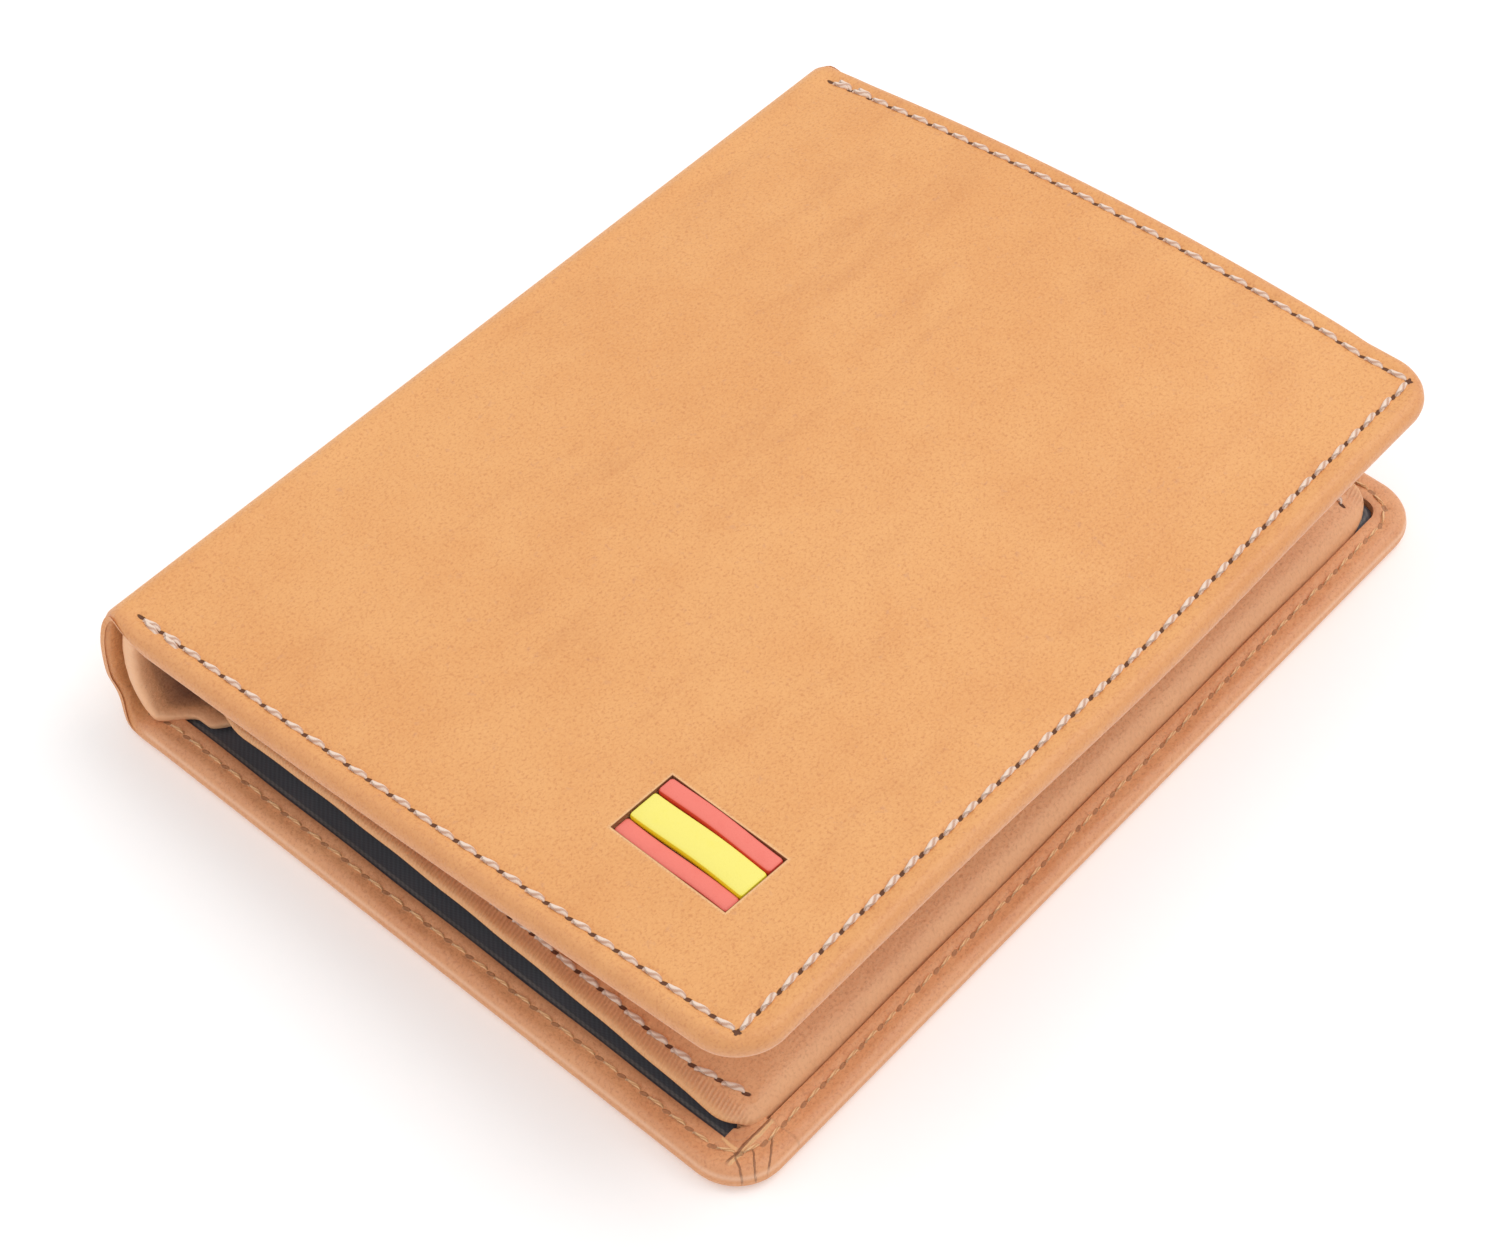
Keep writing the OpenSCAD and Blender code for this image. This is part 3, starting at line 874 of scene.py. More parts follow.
def thread(name, pale, deep):
    linen = Finish(name, Specular_IOR_Level=0.35, Sheen_Weight=0.25)
    along, round_it, _ = linen.axes(linen.own("ply"))
    plies = (round_it * 2.0 + along * 6.0).sine()
    fibres = linen.noise(linen.stretched(linen.own("ply"), 2.0, 1.2, 1.0), 2.6, 3.0, 0.6)
    # Darker along the grooves between the two plies: painted shade; the fibre noise is the linen's own
    # variation.
    groove_shade_and_fibres = (plies * 0.5 + 0.5) * 0.6 + fibres * 0.4
    linen.colour(linen.blend(deep, pale, groove_shade_and_fibres.spread(0.10, 0.55)))
    linen.rough(0.62 + fibres * 0.25)
    linen.relief(plies * 0.5 + fibres * 0.5, 0.10, 0.8)
    return linen


ecru = thread("ecru_linen", tone(240, 216, 198), tone(196, 150, 124))
golden = thread("golden_linen", tone(248, 204, 152), tone(206, 146, 98))
stitch = spin_stitch("stitch", 2.7, 0.66)
fine_stitch = spin_stitch("fine_stitch", 2.5, 0.46)
hem_stitch = spin_stitch("hem_stitch", 2.3, 0.34)
print("faces in a stitch:", len(stitch.data.polygons))

# %% [markdown]
# A row of stitches is the one stitch copied along it, each copy lying a little slanted. The sewer begins
# and ends each cover by sewing back over the last two stitches, so at the spine's end of the two long side
# rows there are two more beside them. The copies are laid out on the flat leather, joined into one piece,
# and only then wrapped as the leather is.

# %% Sew the covers
def sew(name, model, rows, place, height, finish, slot, moves, *nodes, slant=5.0, backed=()):
    """Lays stitches at this height, on the hem's side if it is below 0, and more at the backed counts."""
    side = 1 if height >= 0 else -1
    copies = []
    model_points = points(model)
    for number, row in enumerate(rows):
        laid = [((i + 0.5) * row.pitch, math.radians(slant), 0.0) for i in range(row.count)]
        if number in (0, 2):
            beside = -0.42 if number == 0 else 0.42
            laid += [(back * row.pitch, math.radians(-slant * 1.6), beside) for back in backed]
        for i, (middle, turn, beside) in enumerate(laid):
            sway = 0.05 * math.sin(i * 2.4 + middle)
            c, s = math.cos(turn + sway), math.sin(turn + sway)
            along = model_points[:, 0] * c - model_points[:, 1] * s
            across = model_points[:, 0] * s + model_points[:, 1] * c + 0.04 * math.sin(i * 1.7) + beside
            at = row.start + row.way * (middle + along)[:, None]
            at = at + np.array((-row.way[1], row.way[0])) * across[:, None]
            copy = bpy.data.objects.new(f"{name}_{len(copies)}", model.data.copy())
            bpy.context.scene.collection.objects.link(copy)
            move_points(copy, np.stack([at[:, 0], at[:, 1], height + side * model_points[:, 2]], 1))
            copies.append(copy)
    use_only(copies[0])
    for copy in copies:
        copy.select_set(True)
    bpy.ops.object.join()
    obj = bpy.context.object
    obj.name = obj.data.name = name
    move_points(obj, place(points(obj)))
    outward(obj)
    settle(obj, finish, slot, moves, *nodes, angle=60)


face_thread_h = skin - 0.22                     # the middle of the thread in its channel on the face
hem_thread_h = -(skin - 0.12)                   # and on the hem
for side, rows, place in (("front", front_rows, on_front), ("back", back_rows, on_back)):
    sew(f"{side}_cover_stitches", stitch, rows, place, face_thread_h, ecru, "ecru_thread", side,
        f"{side}_outer_thread", backed=(0.62, 1.62))
    sew(f"{side}_hem_stitches", hem_stitch, rows, place, hem_thread_h, golden, "golden_thread", side,
        f"{side}_inner_thread")

# %% [markdown]
# The board inside a cover is grey pressed pulp, cloudy and matt. The lining is a slate twill: two crossed
# waves make its diagonal ribs, it is worn paler in places, and a pale selvage shows just inside its edge.

# %% Press the board and weave the twill
greyboard = Finish("grey_board", Roughness=0.9)
pulp = greyboard.noise(greyboard.own("flat"), 1.6, 5.0, 0.7)
greyboard.colour(greyboard.blend(tone(150, 128, 104), tone(184, 164, 138), pulp))
greyboard.rough(0.8 + pulp * 0.15)
greyboard.relief(pulp, 0.05, 0.5)

twill = Finish("slate_twill", Specular_IOR_Level=0.3, Sheen_Weight=0.35)
weave_u, weave_v, _ = twill.axes(twill.own("flat"))
twist = (weave_u * 9.0 + weave_v * 9.0).sine() * 0.5 + 0.5
cross = (weave_u * 9.0 - weave_v * 18.0).sine() * 0.5 + 0.5
wear = twill.noise(twill.own("flat"), 0.12, 4.0, 0.6)
yarn = twist * 0.65 + cross * 0.35
turned = twill.own_number("rim")
selvage = turned.spread(0.9, 0.7) * turned.spread(0.35, 0.5)
cloth = twill.blend(tone(70, 70, 76), tone(86, 87, 94), yarn)
cloth = twill.blend(cloth, tone(102, 102, 108), wear.spread(0.55, 0.85) * 0.4)
twill.colour(twill.blend(cloth, tone(128, 124, 122), selvage * (0.35 + yarn * 0.5)))
twill.rough(0.62 + yarn * 0.2)
twill.relief(yarn + selvage * 3.0, 0.03, 0.6)
print("board and twill ready")

# %% [markdown]
# A stiffening board lies in each cover under the leather, and the twill lining covers it inside the hem.
# The boards are hidden in the finished wallet, but they are what keeps the covers flat. Both are thin
# plates that follow the cover's corners from a little further in.

# %% Lay the board and the lining of each cover
plate_start = 3.4                               # how far from the fold a plate begins
plate_step = 4.0                                # between the grid's lines


def plate(name, w, half, inside, top_h, low_h, wave):
    """A thin sheet this far inside a cover's edge, with a slightly rounded edge and a soft waviness."""
    rim = inside + np.array([0, 0.15, 0.5, 1.2, 2.2])
    middle_u = np.arange(plate_start, w - rim[-1] - 0.5 * plate_step, plate_step)
    middle_v = np.linspace(-half + rim[-1], half - rim[-1], int(2 * half / plate_step))[1:-1]
    lines_u = np.concatenate([middle_u, (w - rim)[::-1]])
    lines_v = np.concatenate([-half + rim, middle_v, (half - rim)[::-1]])
    size = w - inside, half - inside, max(corner_r - inside, 0.8)

    def edge_drop(u, v):
        return rounded(to_edge(u, v, *size), 0.12)

    def ripple(u, v):
        return wave * (np.sin(u * 0.21 + 1.3) * np.sin(v * 0.13) + 0.5 * np.sin(u * 0.4 - v * 0.23))

    obj = two_faced(name, lines_u, lines_v, lambda u, v: draw_corners(u, v, *size),
                    lambda u, v: top_h + ripple(u, v) - edge_drop(u, v),
                    lambda u, v: low_h + ripple(u, v) + edge_drop(u, v))
    u, v, _ = points(obj).T
    own_values(obj, "flat", points(obj))
    own_values(obj, "rim", to_edge(u, v, *size), "FLOAT")
    return obj


for side, w, half, place in (("front", front_w, front_half, on_front),
                             ("back", back_w, back_half, on_back)):
    for what, inside, low_h, thick, wave, finish, slot in (
            ("board", hem_w + 0.12, -0.3, 0.58, 0.0, greyboard, "board"),
            ("lining", hem_w + 0.06, -0.7, 0.38, 0.06, twill, "lining_cloth")):
        sheet = plate(f"{side}_{what}_sheet", w, half, inside, low_h + thick, low_h, wave)
        move_points(sheet, place(points(sheet)))
        outward(sheet)
        settle(sheet, finish, slot, side, f"{side}_{what}")
        if what == "lining":
            (w - plate_start - inside) * MM
            2 * (half - inside) * MM

# %% [markdown]
# The soft leather panel on the back carries the card pockets and closes the note compartment. It arches
# up from the spine and comes down steeply to the free edge, where it is sewn beside the hem. Its two
# short edges are thin, soft and a little lower than its middle.

# %% Arch the panel over the back
panel_low, panel_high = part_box("back_panel")
arch_x0, arch_x1 = panel_low.x / MM, panel_high.x / MM
panel_half = panel_high.y / MM
arch_foot = panel_low.z / MM                    # the underside of the panel at its roots
packed_panel_t = 1.6                            # the panel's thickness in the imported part
arch_rise = panel_high.z / MM - arch_foot - packed_panel_t
panel_t = 1.3


def arch_top(x, v):
    s = np.clip((x - arch_x0) / (arch_x1 - arch_x0), 0.0005, 0.9995)
    rise = arch_rise * np.sin(math.pi * s ** 0.56) ** 0.6
    near = np.exp(-((v + panel_half) / 9.0) ** 2)
    far = np.exp(-((v - panel_half) / 12.0) ** 2)
    creases = 0.16 * np.sin(x * 0.62 + v * 0.35) * np.exp(-((v + panel_half - 4) / 5.0) ** 2)
    sag = 1 - 0.27 * near - 0.16 * far
    return arch_foot + packed_panel_t + rise * sag + creases * smooth_step(s, 0.05, 0.3)


def on_arch(flat):
    """x along the wallet, v along the spine, h the height above the panel's face."""
    x, v, h = flat.T
    step = 0.05
    slope = (arch_top(x + step, v) - arch_top(x - step, v)) / (2 * step)
    slope = np.clip(slope, -4, 4)
    long = np.sqrt(1 + slope ** 2)
    end = smooth_step(x, arch_x1 - 1.6, arch_x1)
    z = arch_top(x, v) - 1.2 * end
    return np.stack([x - h * slope / long, v, z + h / long], 1)


def arch_lines(x0, x1, fine=0.8):
    s = np.linspace(0, 1, int((x1 - x0) / fine))
    return x0 + (x1 - x0) * (1 - (1 - s) ** 1.25)


def arch_sheet(name, x0, x1, v0, v1, base, thick, edge, step_v=1.2, dips=(), corner=0.0, drawn_in=0.0):
    """A leather sheet on the arch with rounded edges; base is its underside above the panel's face."""
    rim = np.array([0, 0.1, 0.35, 0.8, 1.4, 2.0])
    widest = max(-v0, v1)
    along = arch_lines(x0, x1)
    lines_u = np.unique(np.concatenate([x0 + rim, along[(along > x0 + 2.3) & (along < x1 - 2.3)],
                                        (x1 - rim)[::-1]]))
    lines_v = np.concatenate([v0 + rim, np.arange(v0 + 2.8, v1 - 2.4, step_v), (v1 - rim)[::-1]])

    def narrowed(u):
        return 1 - drawn_in * (1 - smooth_step(u, x0, x0 + 9))

    def outline(u, v):
        return draw_corners(u, v * narrowed(u), x1, widest, corner)

    def away(u, v):
        v = v / narrowed(u)
        d = np.minimum(np.minimum(u - x0, x1 - u), np.minimum(v - v0, v1 - v))
        a, b = u - (x1 - corner), np.abs(v) - (widest - corner)
        return np.where((a > 0) & (b > 0), corner - np.hypot(a, b), d)

    def face(u, v):
        pulled = np.max([row.pull(u, v) for row in dips], axis=0) if dips else 0
        return base + thick - rounded(away(u, v), edge) - 0.6 * pulled

    obj = two_faced(name, lines_u, lines_v, outline, face,
                    lambda u, v: base + rounded(away(u, v), edge))
    flat = points(obj)
    own_values(obj, "flat", flat)
    own_values(obj, "cut", flat)
    own_values(obj, "rim", away(flat[:, 0], flat[:, 1]), "FLOAT")
    move_points(obj, on_arch(flat))
    outward(obj)
    return obj


print("panel from", round(arch_x0, 1), "to", round(arch_x1, 1))

# %% [markdown]
# The panel is the palest leather. Its two short edges are turned and pinched, which leaves fine ridges
# across them, painted darker between the ridges as painted shade, and a smooth lip painted paler as a
# painted highlight. Its stitches follow these edges and turn in at the free corners.

# %% Make the panel of the note compartment
panel_dark = tone(184, 118, 82)


def pinched_edges(hide, colour, height):
    u, v, _ = hide.axes(hide.own("flat"))
    ridges = (u * 13.0 + v * 3.0 + hide.mottle * 7.0).sine() * 0.5 + 0.5
    band = abs(v).spread(panel_half - 3.1, panel_half - 1.7)
    lip = abs(v).spread(panel_half - 1.3, panel_half - 0.2)
    # Painted shade between the fine ridges.
    colour = hide.blend(colour, panel_dark, (1 - ridges) * band * 0.34)
    # The lip along each short edge is painted in a smooth paler tone: a painted highlight.
    return hide.blend(colour, tone(238, 178, 122), lip * 0.7), height + ridges * band * 0.8


panel_rows = []
for side in (-1, 1):
    bend = (arch_x1 - 8.8, side * (panel_half - 2.4))
    panel_rows.append(Row((arch_x0 + 9, side * (panel_half - 2.2)), bend))
    panel_rows.append(Row(bend, (arch_x1 - 2.8, side * (panel_half - 4.0)), 2))
panel_leather = leather("panel_leather", tone(244, 190, 142), tone(233, 174, 128), panel_dark,
                        tone(232, 176, 132), panel_rows, 0.6, detail=pinched_edges)
note_panel = arch_sheet("note_panel", arch_x0, arch_x1, -panel_half, panel_half, -panel_t, panel_t, 0.62,
                        dips=panel_rows, corner=4.4, drawn_in=0.04)
settle(note_panel, panel_leather, "inner_leather", "back", "back_panel")
sew("note_panel_stitches", stitch, panel_rows, on_arch, 0.0, ecru, "ecru_thread", "back",
    "back_panel_thread", slant=6.0)

# %% [markdown]
# Under the panel lies its cloth lining, and a fold of the same cloth joins it to the cover's lining near
# the bottom edge. That fold is the seam that closes the note compartment; notes go in from the top.

# %% Line the note compartment
panel_lining = arch_sheet("note_panel_lining", arch_x0 + 0.6, arch_x1 - 1.2, -panel_half + 1.3,
                          panel_half - 1.0, -panel_t - 0.38, 0.34, 0.1, step_v=3.0, corner=2.0,
                          drawn_in=0.05)
settle(panel_lining, twill, "lining_cloth", "back", "back_panel_lining")
seam_low, seam_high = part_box("note_seam")
seam_v = (seam_low.y + seam_high.y) / 2 / MM
seam_foot = seam_low.z / MM
seam_cloth_t = 0.34


def hang_seam(flat):
    """x stays, v is the share of the way up the seam, h its thickness along the spine."""
    x, t, h = flat.T
    top_z = arch_top(x, np.full_like(x, seam_v)) - panel_t - 0.42
    fold = 0.9 * np.sin(math.pi * t) + 0.25 * np.sin(x * 0.45) * np.sin(math.pi * t)
    return np.stack([x, seam_v + fold + h, seam_foot + 0.12 + (top_z - seam_foot - 0.2) * t], 1)


note_seam = two_faced("note_seam_cloth", np.linspace(arch_x0 + 1.2, arch_x1 - 2.2, 90),
                      np.linspace(0.02, 0.98, 14), keep_straight,
                      lambda u, v: seam_cloth_t / 2 + 0 * u, lambda u, v: -seam_cloth_t / 2 + 0 * u)
seam_flat = points(note_seam)
own_values(note_seam, "flat", seam_flat * (1, 6, 1))
move_points(note_seam, hang_seam(seam_flat))
outward(note_seam)
settle(note_seam, twill, "lining_cloth", "back", "note_seam")

# %% [markdown]
# Three stepped card pockets lie on the panel, each mouth a step below the one before. They are skived thin,
# with rounded edges, and one row of stitches holds all three at the bottom.

# %% Step the card pockets
pocket_t, pocket_gap = 0.5, 0.04
for k in range(3):
    low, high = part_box(f"card_pocket_{k + 1}")
    base = pocket_gap + k * (pocket_t + pocket_gap)
    pocket = arch_sheet(f"card_pocket_{('back', 'middle', 'front')[k]}", low.x / MM, high.x / MM,
                        low.y / MM + 1.8, high.y / MM, base, pocket_t, 0.24, step_v=1.6)
    settle(pocket, inner_leather, "inner_leather", "back", f"card_pocket_{k + 1}")
thread_low, thread_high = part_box("card_pocket_thread")
pocket_row_v = (thread_low.y + thread_high.y) / 2 / MM
sew("card_pocket_stitches", fine_stitch,
    [Row((thread_low.x / MM, pocket_row_v), (thread_high.x / MM, pocket_row_v))], on_arch,
    3 * (pocket_t + pocket_gap) + 0.02, ecru, "ecru_thread", "back", "card_pocket_thread")

# %% [markdown]
# The inner leather of the spine hangs in a C behind the outer one. Its turned end shows at both ends of
# the spine as a pale rounded lip, and in the hollow in front of it the C's inner face is painted dark as
# painted shade, most near the ends. It is drawn as a line of points across the wallet, thickened, and
# made in two halves that meet in the middle of the spine. The lower half begins as a thin foot on the
# cover's lining, drawn in from the ends so that it stays hidden there.

# %% Hang the inner leather of the spine
lip_t = 1.9
lip_edge = 0.72                                 # radius of the lip's rounded edges
even_half = 60                                  # half the length at which its grid is planned
c_low = ((-32.4, 2.95), (-35.0, 2.95), (-37.6, 2.95), (-39.4, 2.95), (-41.2, 3.1), (-42.7, 3.9),
         (-43.8, 5.4), (-44.6, 7.4), (-44.95, 10.0))
c_top = ((-44.95, 10.0), (-45.0, 12.4), (-44.7, 14.5), (-43.8, 16.0), (-42.4, 16.5), (-40.8, 16.2),
         (-39.4, 15.6))


def c_line(shape, count=54):
    """A smooth line near the points, evenly divided, with its direction."""
    dense, reach = 400, 30                      # how many places are averaged, and how far each way
    shape = np.array(shape)
    knots = np.concatenate([[0], np.cumsum(np.linalg.norm(np.diff(shape, axis=0), axis=1))])
    fine = np.linspace(0, knots[-1], dense)
    line = np.stack([np.interp(fine, knots, shape[:, i]) for i in (0, 1)], 1)
    weights = np.exp(-np.linspace(-2, 2, 2 * reach + 1) ** 2)
    padded = np.concatenate([2 * line[:1] - line[reach:0:-1], line,
                             2 * line[-1:] - line[-2:-reach - 2:-1]])
    line = np.stack([np.convolve(padded[:, i], weights / weights.sum(), "valid") for i in (0, 1)], 1)
    at = np.linspace(0, dense - 1, count)
    line = np.stack([np.interp(at, np.arange(dense), line[:, i]) for i in (0, 1)], 1)
    way = np.gradient(line, axis=0)
    return line, way / np.linalg.norm(way, axis=1)[:, None]


def c_leather(name, shape, half_start, half_end, moves, *nodes, foot=False):
    """One half of the C; the halves of its length are given for where it starts and where it ends."""
    line, way = c_line(shape)
    share = np.linspace(0, 1, len(line))
    halves = half_start + (half_end - half_start) * share
    full = np.ones(len(line))
    if foot:
        halves = half_start + (half_end - half_start) * smooth_step(share, 0.28, 0.52)
        halves = halves - 3.4 * (1 - smooth_step(share, 0, 0.2))
        full = 0.30 + 0.70 * smooth_step(share, 0.34, 0.72)
    inward = np.stack([way[:, 1], -way[:, 0]], 1)        # to the right of the way up, into the wallet
    rim = np.array([0, 0.1, 0.3, 0.6, 1.0, 1.6]) / even_half
    lines_v = np.concatenate([-1 + rim, np.linspace(-0.96, 0.96, 60), (1 - rim)[::-1]])
    obj = two_faced(name, np.arange(len(line), dtype=float), lines_v, keep_straight,
                    lambda u, v: 0 * u, lambda u, v: -1 + 0 * u)
    s, v, depth = points(obj).T
    i = np.round(s).astype(int)
    to_end = (1 - np.abs(v)) * even_half
    swollen = 0.18 * np.exp(-((to_end - 1.0) / 1.2) ** 2)
    end_drop = rounded(to_end, lip_edge * full[i])
    thick = np.where(depth > -0.5, end_drop - swollen * full[i], lip_t * full[i] - end_drop + swollen)
    ripple = 0.22 * np.sin(v * 9 + s * 0.05) * np.sin(math.pi * s / (len(line) - 1))
    at = line[i] + inward[i] * (thick + ripple)[:, None]
    run = s * np.linalg.norm(np.diff(line, axis=0), axis=1).mean()
    own_values(obj, "flat", np.stack([run - 60, v * halves[i], depth], 1))
    own_values(obj, "rim", to_end, "FLOAT")
    # Painted shade on the C's inner face, strongest just inside each end and fading towards the middle; the
    # 'hem' attribute carries it to the finish.
    hollow_shade = smooth_step(to_end, 1.2, 3.5) * (1 - 0.7 * smooth_step(to_end, 9, 24))
    own_values(obj, "hem", (depth < -0.5) * hollow_shade, "FLOAT")
    move_points(obj, np.stack([at[:, 0], v * halves[i], at[:, 1]], 1))
    outward(obj)
    settle(obj, spine_leather, "inner_leather", moves, *nodes)


spine_leather = leather("spine_leather", *browns, tone(244, 190, 146), worn=0.9, hem_or_shade_tones=hollow_shade_tones)
c_leather("spine_lip_low", c_low, front_half - 3.9, front_half - 0.5, "low fold", "spine_lining",
          foot=True)
c_leather("spine_lip_top", c_top, front_half - 0.5, front_half - 1.4, "top fold")

# %% [markdown]
# Inside the front cover lies a soft panel of the inner leather. Its edge swells out under the cover's
# free edge, which makes that edge look thicker in its middle.

# %% Line the front with its panel
front_panel_half = front_half - 4.6
panel_u0, panel_u1 = 8.0, front_w - hem_w


def front_piece(name, u0, u1, half, top_h, low_h, edge=0.25, corner=0.0, puff=0.0, dips=(), step=1.6,
                wide=0.0):
    """A sheet inside the front cover; heights are in the cover's frame, so they are negative."""
    rim = np.array([0, 0.1, 0.3, 0.7, 1.2, 1.8])
    lines_u = np.concatenate([u0 + rim, np.arange(u0 + 2.6, u1 - 2.2, step), (u1 - rim)[::-1]])
    lines_v = np.concatenate([-half + rim, np.arange(-half + 2.6, half - 2.2, step), (half - rim)[::-1]])

    def belly(v):
        """1 along the middle of the free edge, falling to 0 towards its two ends."""
        return smooth_step(v, -half + 3, -half + 12) * smooth_step(-v, -half + 16, -half + 26)

    def outline(u, v):
        u = u + wide * belly(v) * smooth_step(u, u1 - 6, u1)
        return draw_corners(u, v, u1, half, corner)

    def away(u, v):
        d = np.minimum(np.minimum(u - u0, u1 + wide * belly(v) - u), half - np.abs(v))
        return np.maximum(d, 0)

    def back(u, v):
        sag = puff * belly(v) * smooth_step(u, u1 - 9, u1 - 1)
        pulled = np.max([row.pull(u, v) for row in dips], axis=0) if dips else 0
        return low_h - sag + rounded(away(u, v), edge) + 0.5 * pulled

    def face(u, v):
        under_hem = (-skin - 0.02 - top_h) * smooth_step(u, u1 - 0.4, u1) * belly(v) if wide else 0
        return top_h + under_hem - rounded(away(u, v), edge)

    obj = two_faced(name, lines_u, lines_v, outline, face, back)
    flat = points(obj)
    own_values(obj, "flat", flat)
    own_values(obj, "cut", flat)
    own_values(obj, "rim", away(flat[:, 0], flat[:, 1]), "FLOAT")
    return obj


def lay_in_front(obj, finish, slot, node):
    move_points(obj, on_front(points(obj)))
    outward(obj)
    settle(obj, finish, slot, "front", node)


panel_row_v = front_panel_half - 2.2
front_panel_rows = [Row((panel_u0 + 2, v), (panel_u1 - 2, v)) for v in (-panel_row_v, panel_row_v)]
front_panel_leather = leather("front_panel_leather", *browns, tone(224, 168, 126), front_panel_rows, 0.6)
front_panel = front_piece("front_panel", panel_u0, panel_u1, front_panel_half, -0.78, -2.0, edge=0.5,
                          corner=2.0, puff=0.9, dips=front_panel_rows, step=1.0, wide=2.9)
lay_in_front(front_panel, front_panel_leather, "inner_leather", "front_panel")
sew("front_panel_stitches", fine_stitch, front_panel_rows, on_front, -1.98, ecru, "ecru_thread", "front",
    "front_panel_thread")

# %% [markdown]
# The slip pocket is one flat leather. Over it a frame of leather holds a clear film, through which a card
# shows: the film is thin polished plastic, slightly scuffed, and the frame's opening has round corners.

# %% Add the slip pocket, the film and its frame
window_u = (panel_u0 + panel_u1) / 2
opening_u, opening_v = 46 / 2, 74 / 2           # half the size of the frame's opening
frame_u, frame_v = opening_u + 8, opening_v + 8
slip = front_piece("slip_pocket_leather", window_u - frame_u - 2, window_u + frame_u + 2,
                   front_panel_half - 3.2, -2.04, -2.5, edge=0.2)
lay_in_front(slip, inner_leather, "inner_leather", "slip_pocket")
film = Finish("clear_film", Roughness=0.12, IOR=1.45, Specular_IOR_Level=0.6)
scuffs = film.noise(film.stretched(film.own("flat"), 1.0, 0.2, 1.0), 0.9, 4.0, 0.6)
film.colour(film.blend(tone(226, 230, 232), tone(240, 243, 245), scuffs))
film.rough(0.10 + scuffs.spread(0.5, 0.8) * 0.25)
film.join(0.22 + scuffs.spread(0.55, 0.8) * 0.15, film.shader.inputs["Alpha"])
film.relief(scuffs, 0.05, 0.3)
window_sheet = front_piece("window_film_sheet", window_u - frame_u + 2, window_u + frame_u - 2,
                           frame_v - 2, -2.54, -2.74, edge=0.08)
lay_in_front(window_sheet, film, "clear_film", "window_film")
window_edge = front_piece("window_frame_leather", window_u - frame_u, window_u + frame_u, frame_v,
                          -2.80, -3.35, step=1.2)
opening = block("opening", (window_u - opening_u, -opening_v, -6), (window_u + opening_u, opening_v, 0))
use_only(opening)
bpy.ops.object.mode_set(mode="EDIT")
bpy.ops.mesh.select_all(action="DESELECT")
bpy.ops.object.mode_set(mode="OBJECT")
for edge in opening.data.edges:
    ends = [opening.data.vertices[i].co for i in edge.vertices]
    edge.select = abs(ends[0].z - ends[1].z) > 2 * MM
bpy.ops.object.mode_set(mode="EDIT")
bpy.ops.mesh.select_mode(type="EDGE")
bpy.ops.mesh.bevel(offset=3 * MM, segments=6, affect="EDGES")
bpy.ops.object.mode_set(mode="OBJECT")
cut_out(window_edge, opening)
u, v, _ = np.abs(points(window_edge) - (window_u, 0, 0)).T
own_values(window_edge, "flat", points(window_edge))
own_values(window_edge, "rim", np.minimum(np.maximum(u - opening_u, v - opening_v),
                                          np.minimum(frame_u - u, frame_v - v)), "FLOAT")
lay_in_front(window_edge, inner_leather, "inner_leather", "window_frame")
u, v = frame_u - 2.2, frame_v - 2.2
sew("window_stitches", fine_stitch,
    [Row((window_u - u, -v), (window_u - u, v)), Row((window_u + u, -v), (window_u + u, v)),
     Row((window_u - u + 1, -v), (window_u + u - 1, -v))], on_front, -3.38, ecru, "ecru_thread", "front",
    "window_thread")

# %% [markdown]
# The three strips of the inlay are cut from coloured leather board and laid side by side into the window.
# They stand in steps, the upper one highest, and their sides are painted a deeper, darker tone than
# their faces, as painted shade.
# A strip is a bevelled bar, cut across into short lengths so that it can bow and follow the cover.

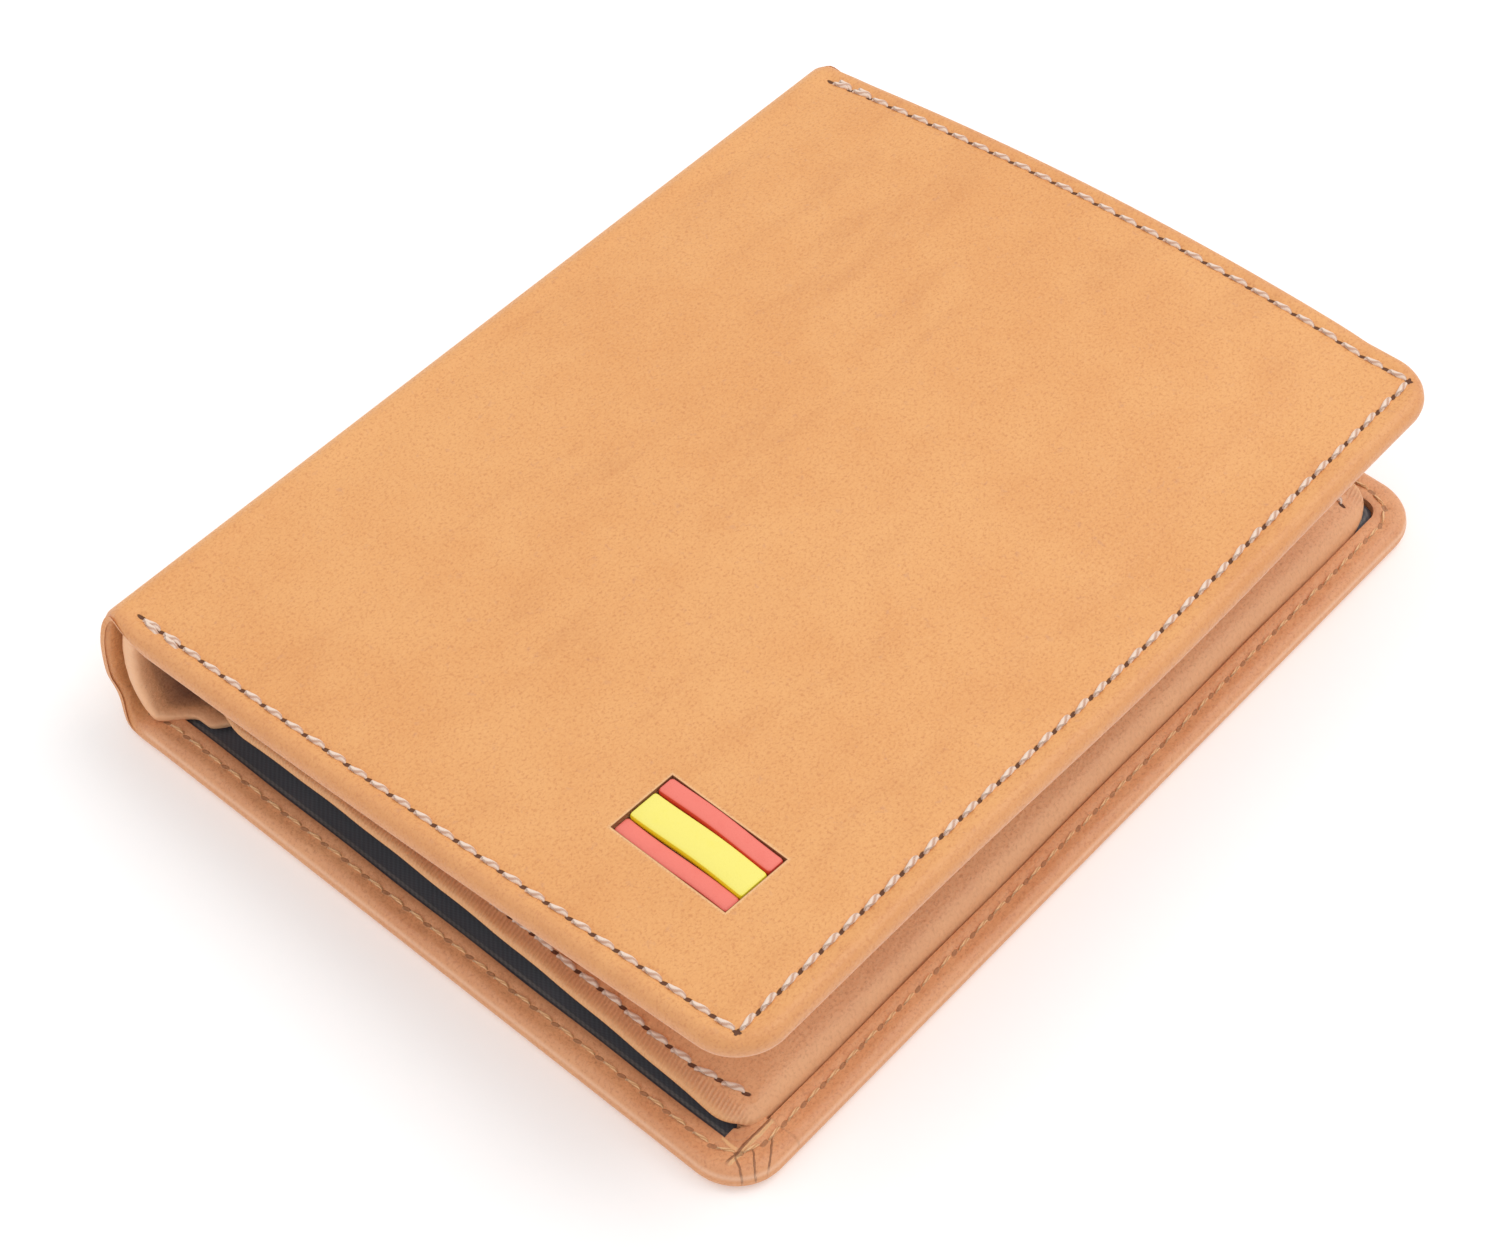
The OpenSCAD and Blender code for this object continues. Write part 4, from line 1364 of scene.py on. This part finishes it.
# %% Lay in the coloured strips
def strip_finish(name, face, shaded_side_tone):
    paint = Finish(name, Specular_IOR_Level=0.4)
    flat = paint.own("flat")
    fine = paint.noise(flat, 3.2, 3.0, 0.6)
    cloud = paint.noise(flat, 0.5, 2.0, 0.5)
    depth = paint.own_number("rim")
    colour = paint.blend(face, shaded_side_tone, fine.spread(0.55, 0.8) * 0.16 + cloud.spread(0.5, 0.8) * 0.10)
    # The sides, where the 'rim' attribute is 1, take the shaded side tone: painted shade.
    paint.colour(paint.blend(colour, shaded_side_tone, depth.spread(0.02, 0.6)))
    paint.rough(0.48 + fine * 0.18)
    paint.relief(fine + paint.cells(flat, 2.2) * 0.6, 0.05, 0.5)
    return paint


strip_red = strip_finish("strip_red", tone(240, 126, 112), tone(220, 66, 50))
strip_yellow = strip_finish("strip_yellow", tone(245, 232, 120), tone(244, 226, 24))
middle_share = 0.46                             # of the inlay's width, taken by the yellow strip
end_gap, side_gap = 0.12, 0.07
edges_v = np.array((-0.5, -middle_share / 2, middle_share / 2, 0.5)) * inlay_w
for k, (part, finish, slot, top_h) in enumerate((("lower", strip_red, "inlay_red", 1.26),
                                                ("middle", strip_yellow, "inlay_yellow", 1.54),
                                                ("upper", strip_red, "inlay_red", 1.62))):
    strip = block(f"inlay_strip_{part}", (-inlay_l / 2 + end_gap, edges_v[k] + side_gap, 0.30),
                  (inlay_l / 2 - end_gap, edges_v[k + 1] - side_gap, top_h), bevel=0.42)
    use_only(strip)
    bpy.ops.object.mode_set(mode="EDIT")
    for x in np.linspace(-inlay_l / 2, inlay_l / 2, 10)[1:-1]:
        bpy.ops.mesh.select_all(action="SELECT")
        bpy.ops.mesh.bisect(plane_co=(x * MM, 0, 0), plane_no=(1, 0, 0))
    bpy.ops.object.mode_set(mode="OBJECT")
    flat = points(strip)
    own_values(strip, "flat", flat + (0, 0, 20 * k))
    # The 'rim' attribute marks the strip's sides for their painted shade.
    own_values(strip, "rim", smooth_step(top_h - flat[:, 2], 0.02, 0.32), "FLOAT")
    flat[:, 1] += 0.12 * np.sin(flat[:, 0] * 0.35 + k)
    move_points(strip, on_inlay(flat))
    move_points(strip, on_front(points(strip)))
    settle(strip, finish, slot, "front", f"inlay_band_{part}")
print("inlay laid")

# %% [markdown]
# Every row has its own copies of the stitches, so the three models they were copied from are taken away.

# %% Put the models of the stitches away
for model in (stitch, fine_stitch, hem_stitch):
    bpy.data.objects.remove(model)
print("models removed")
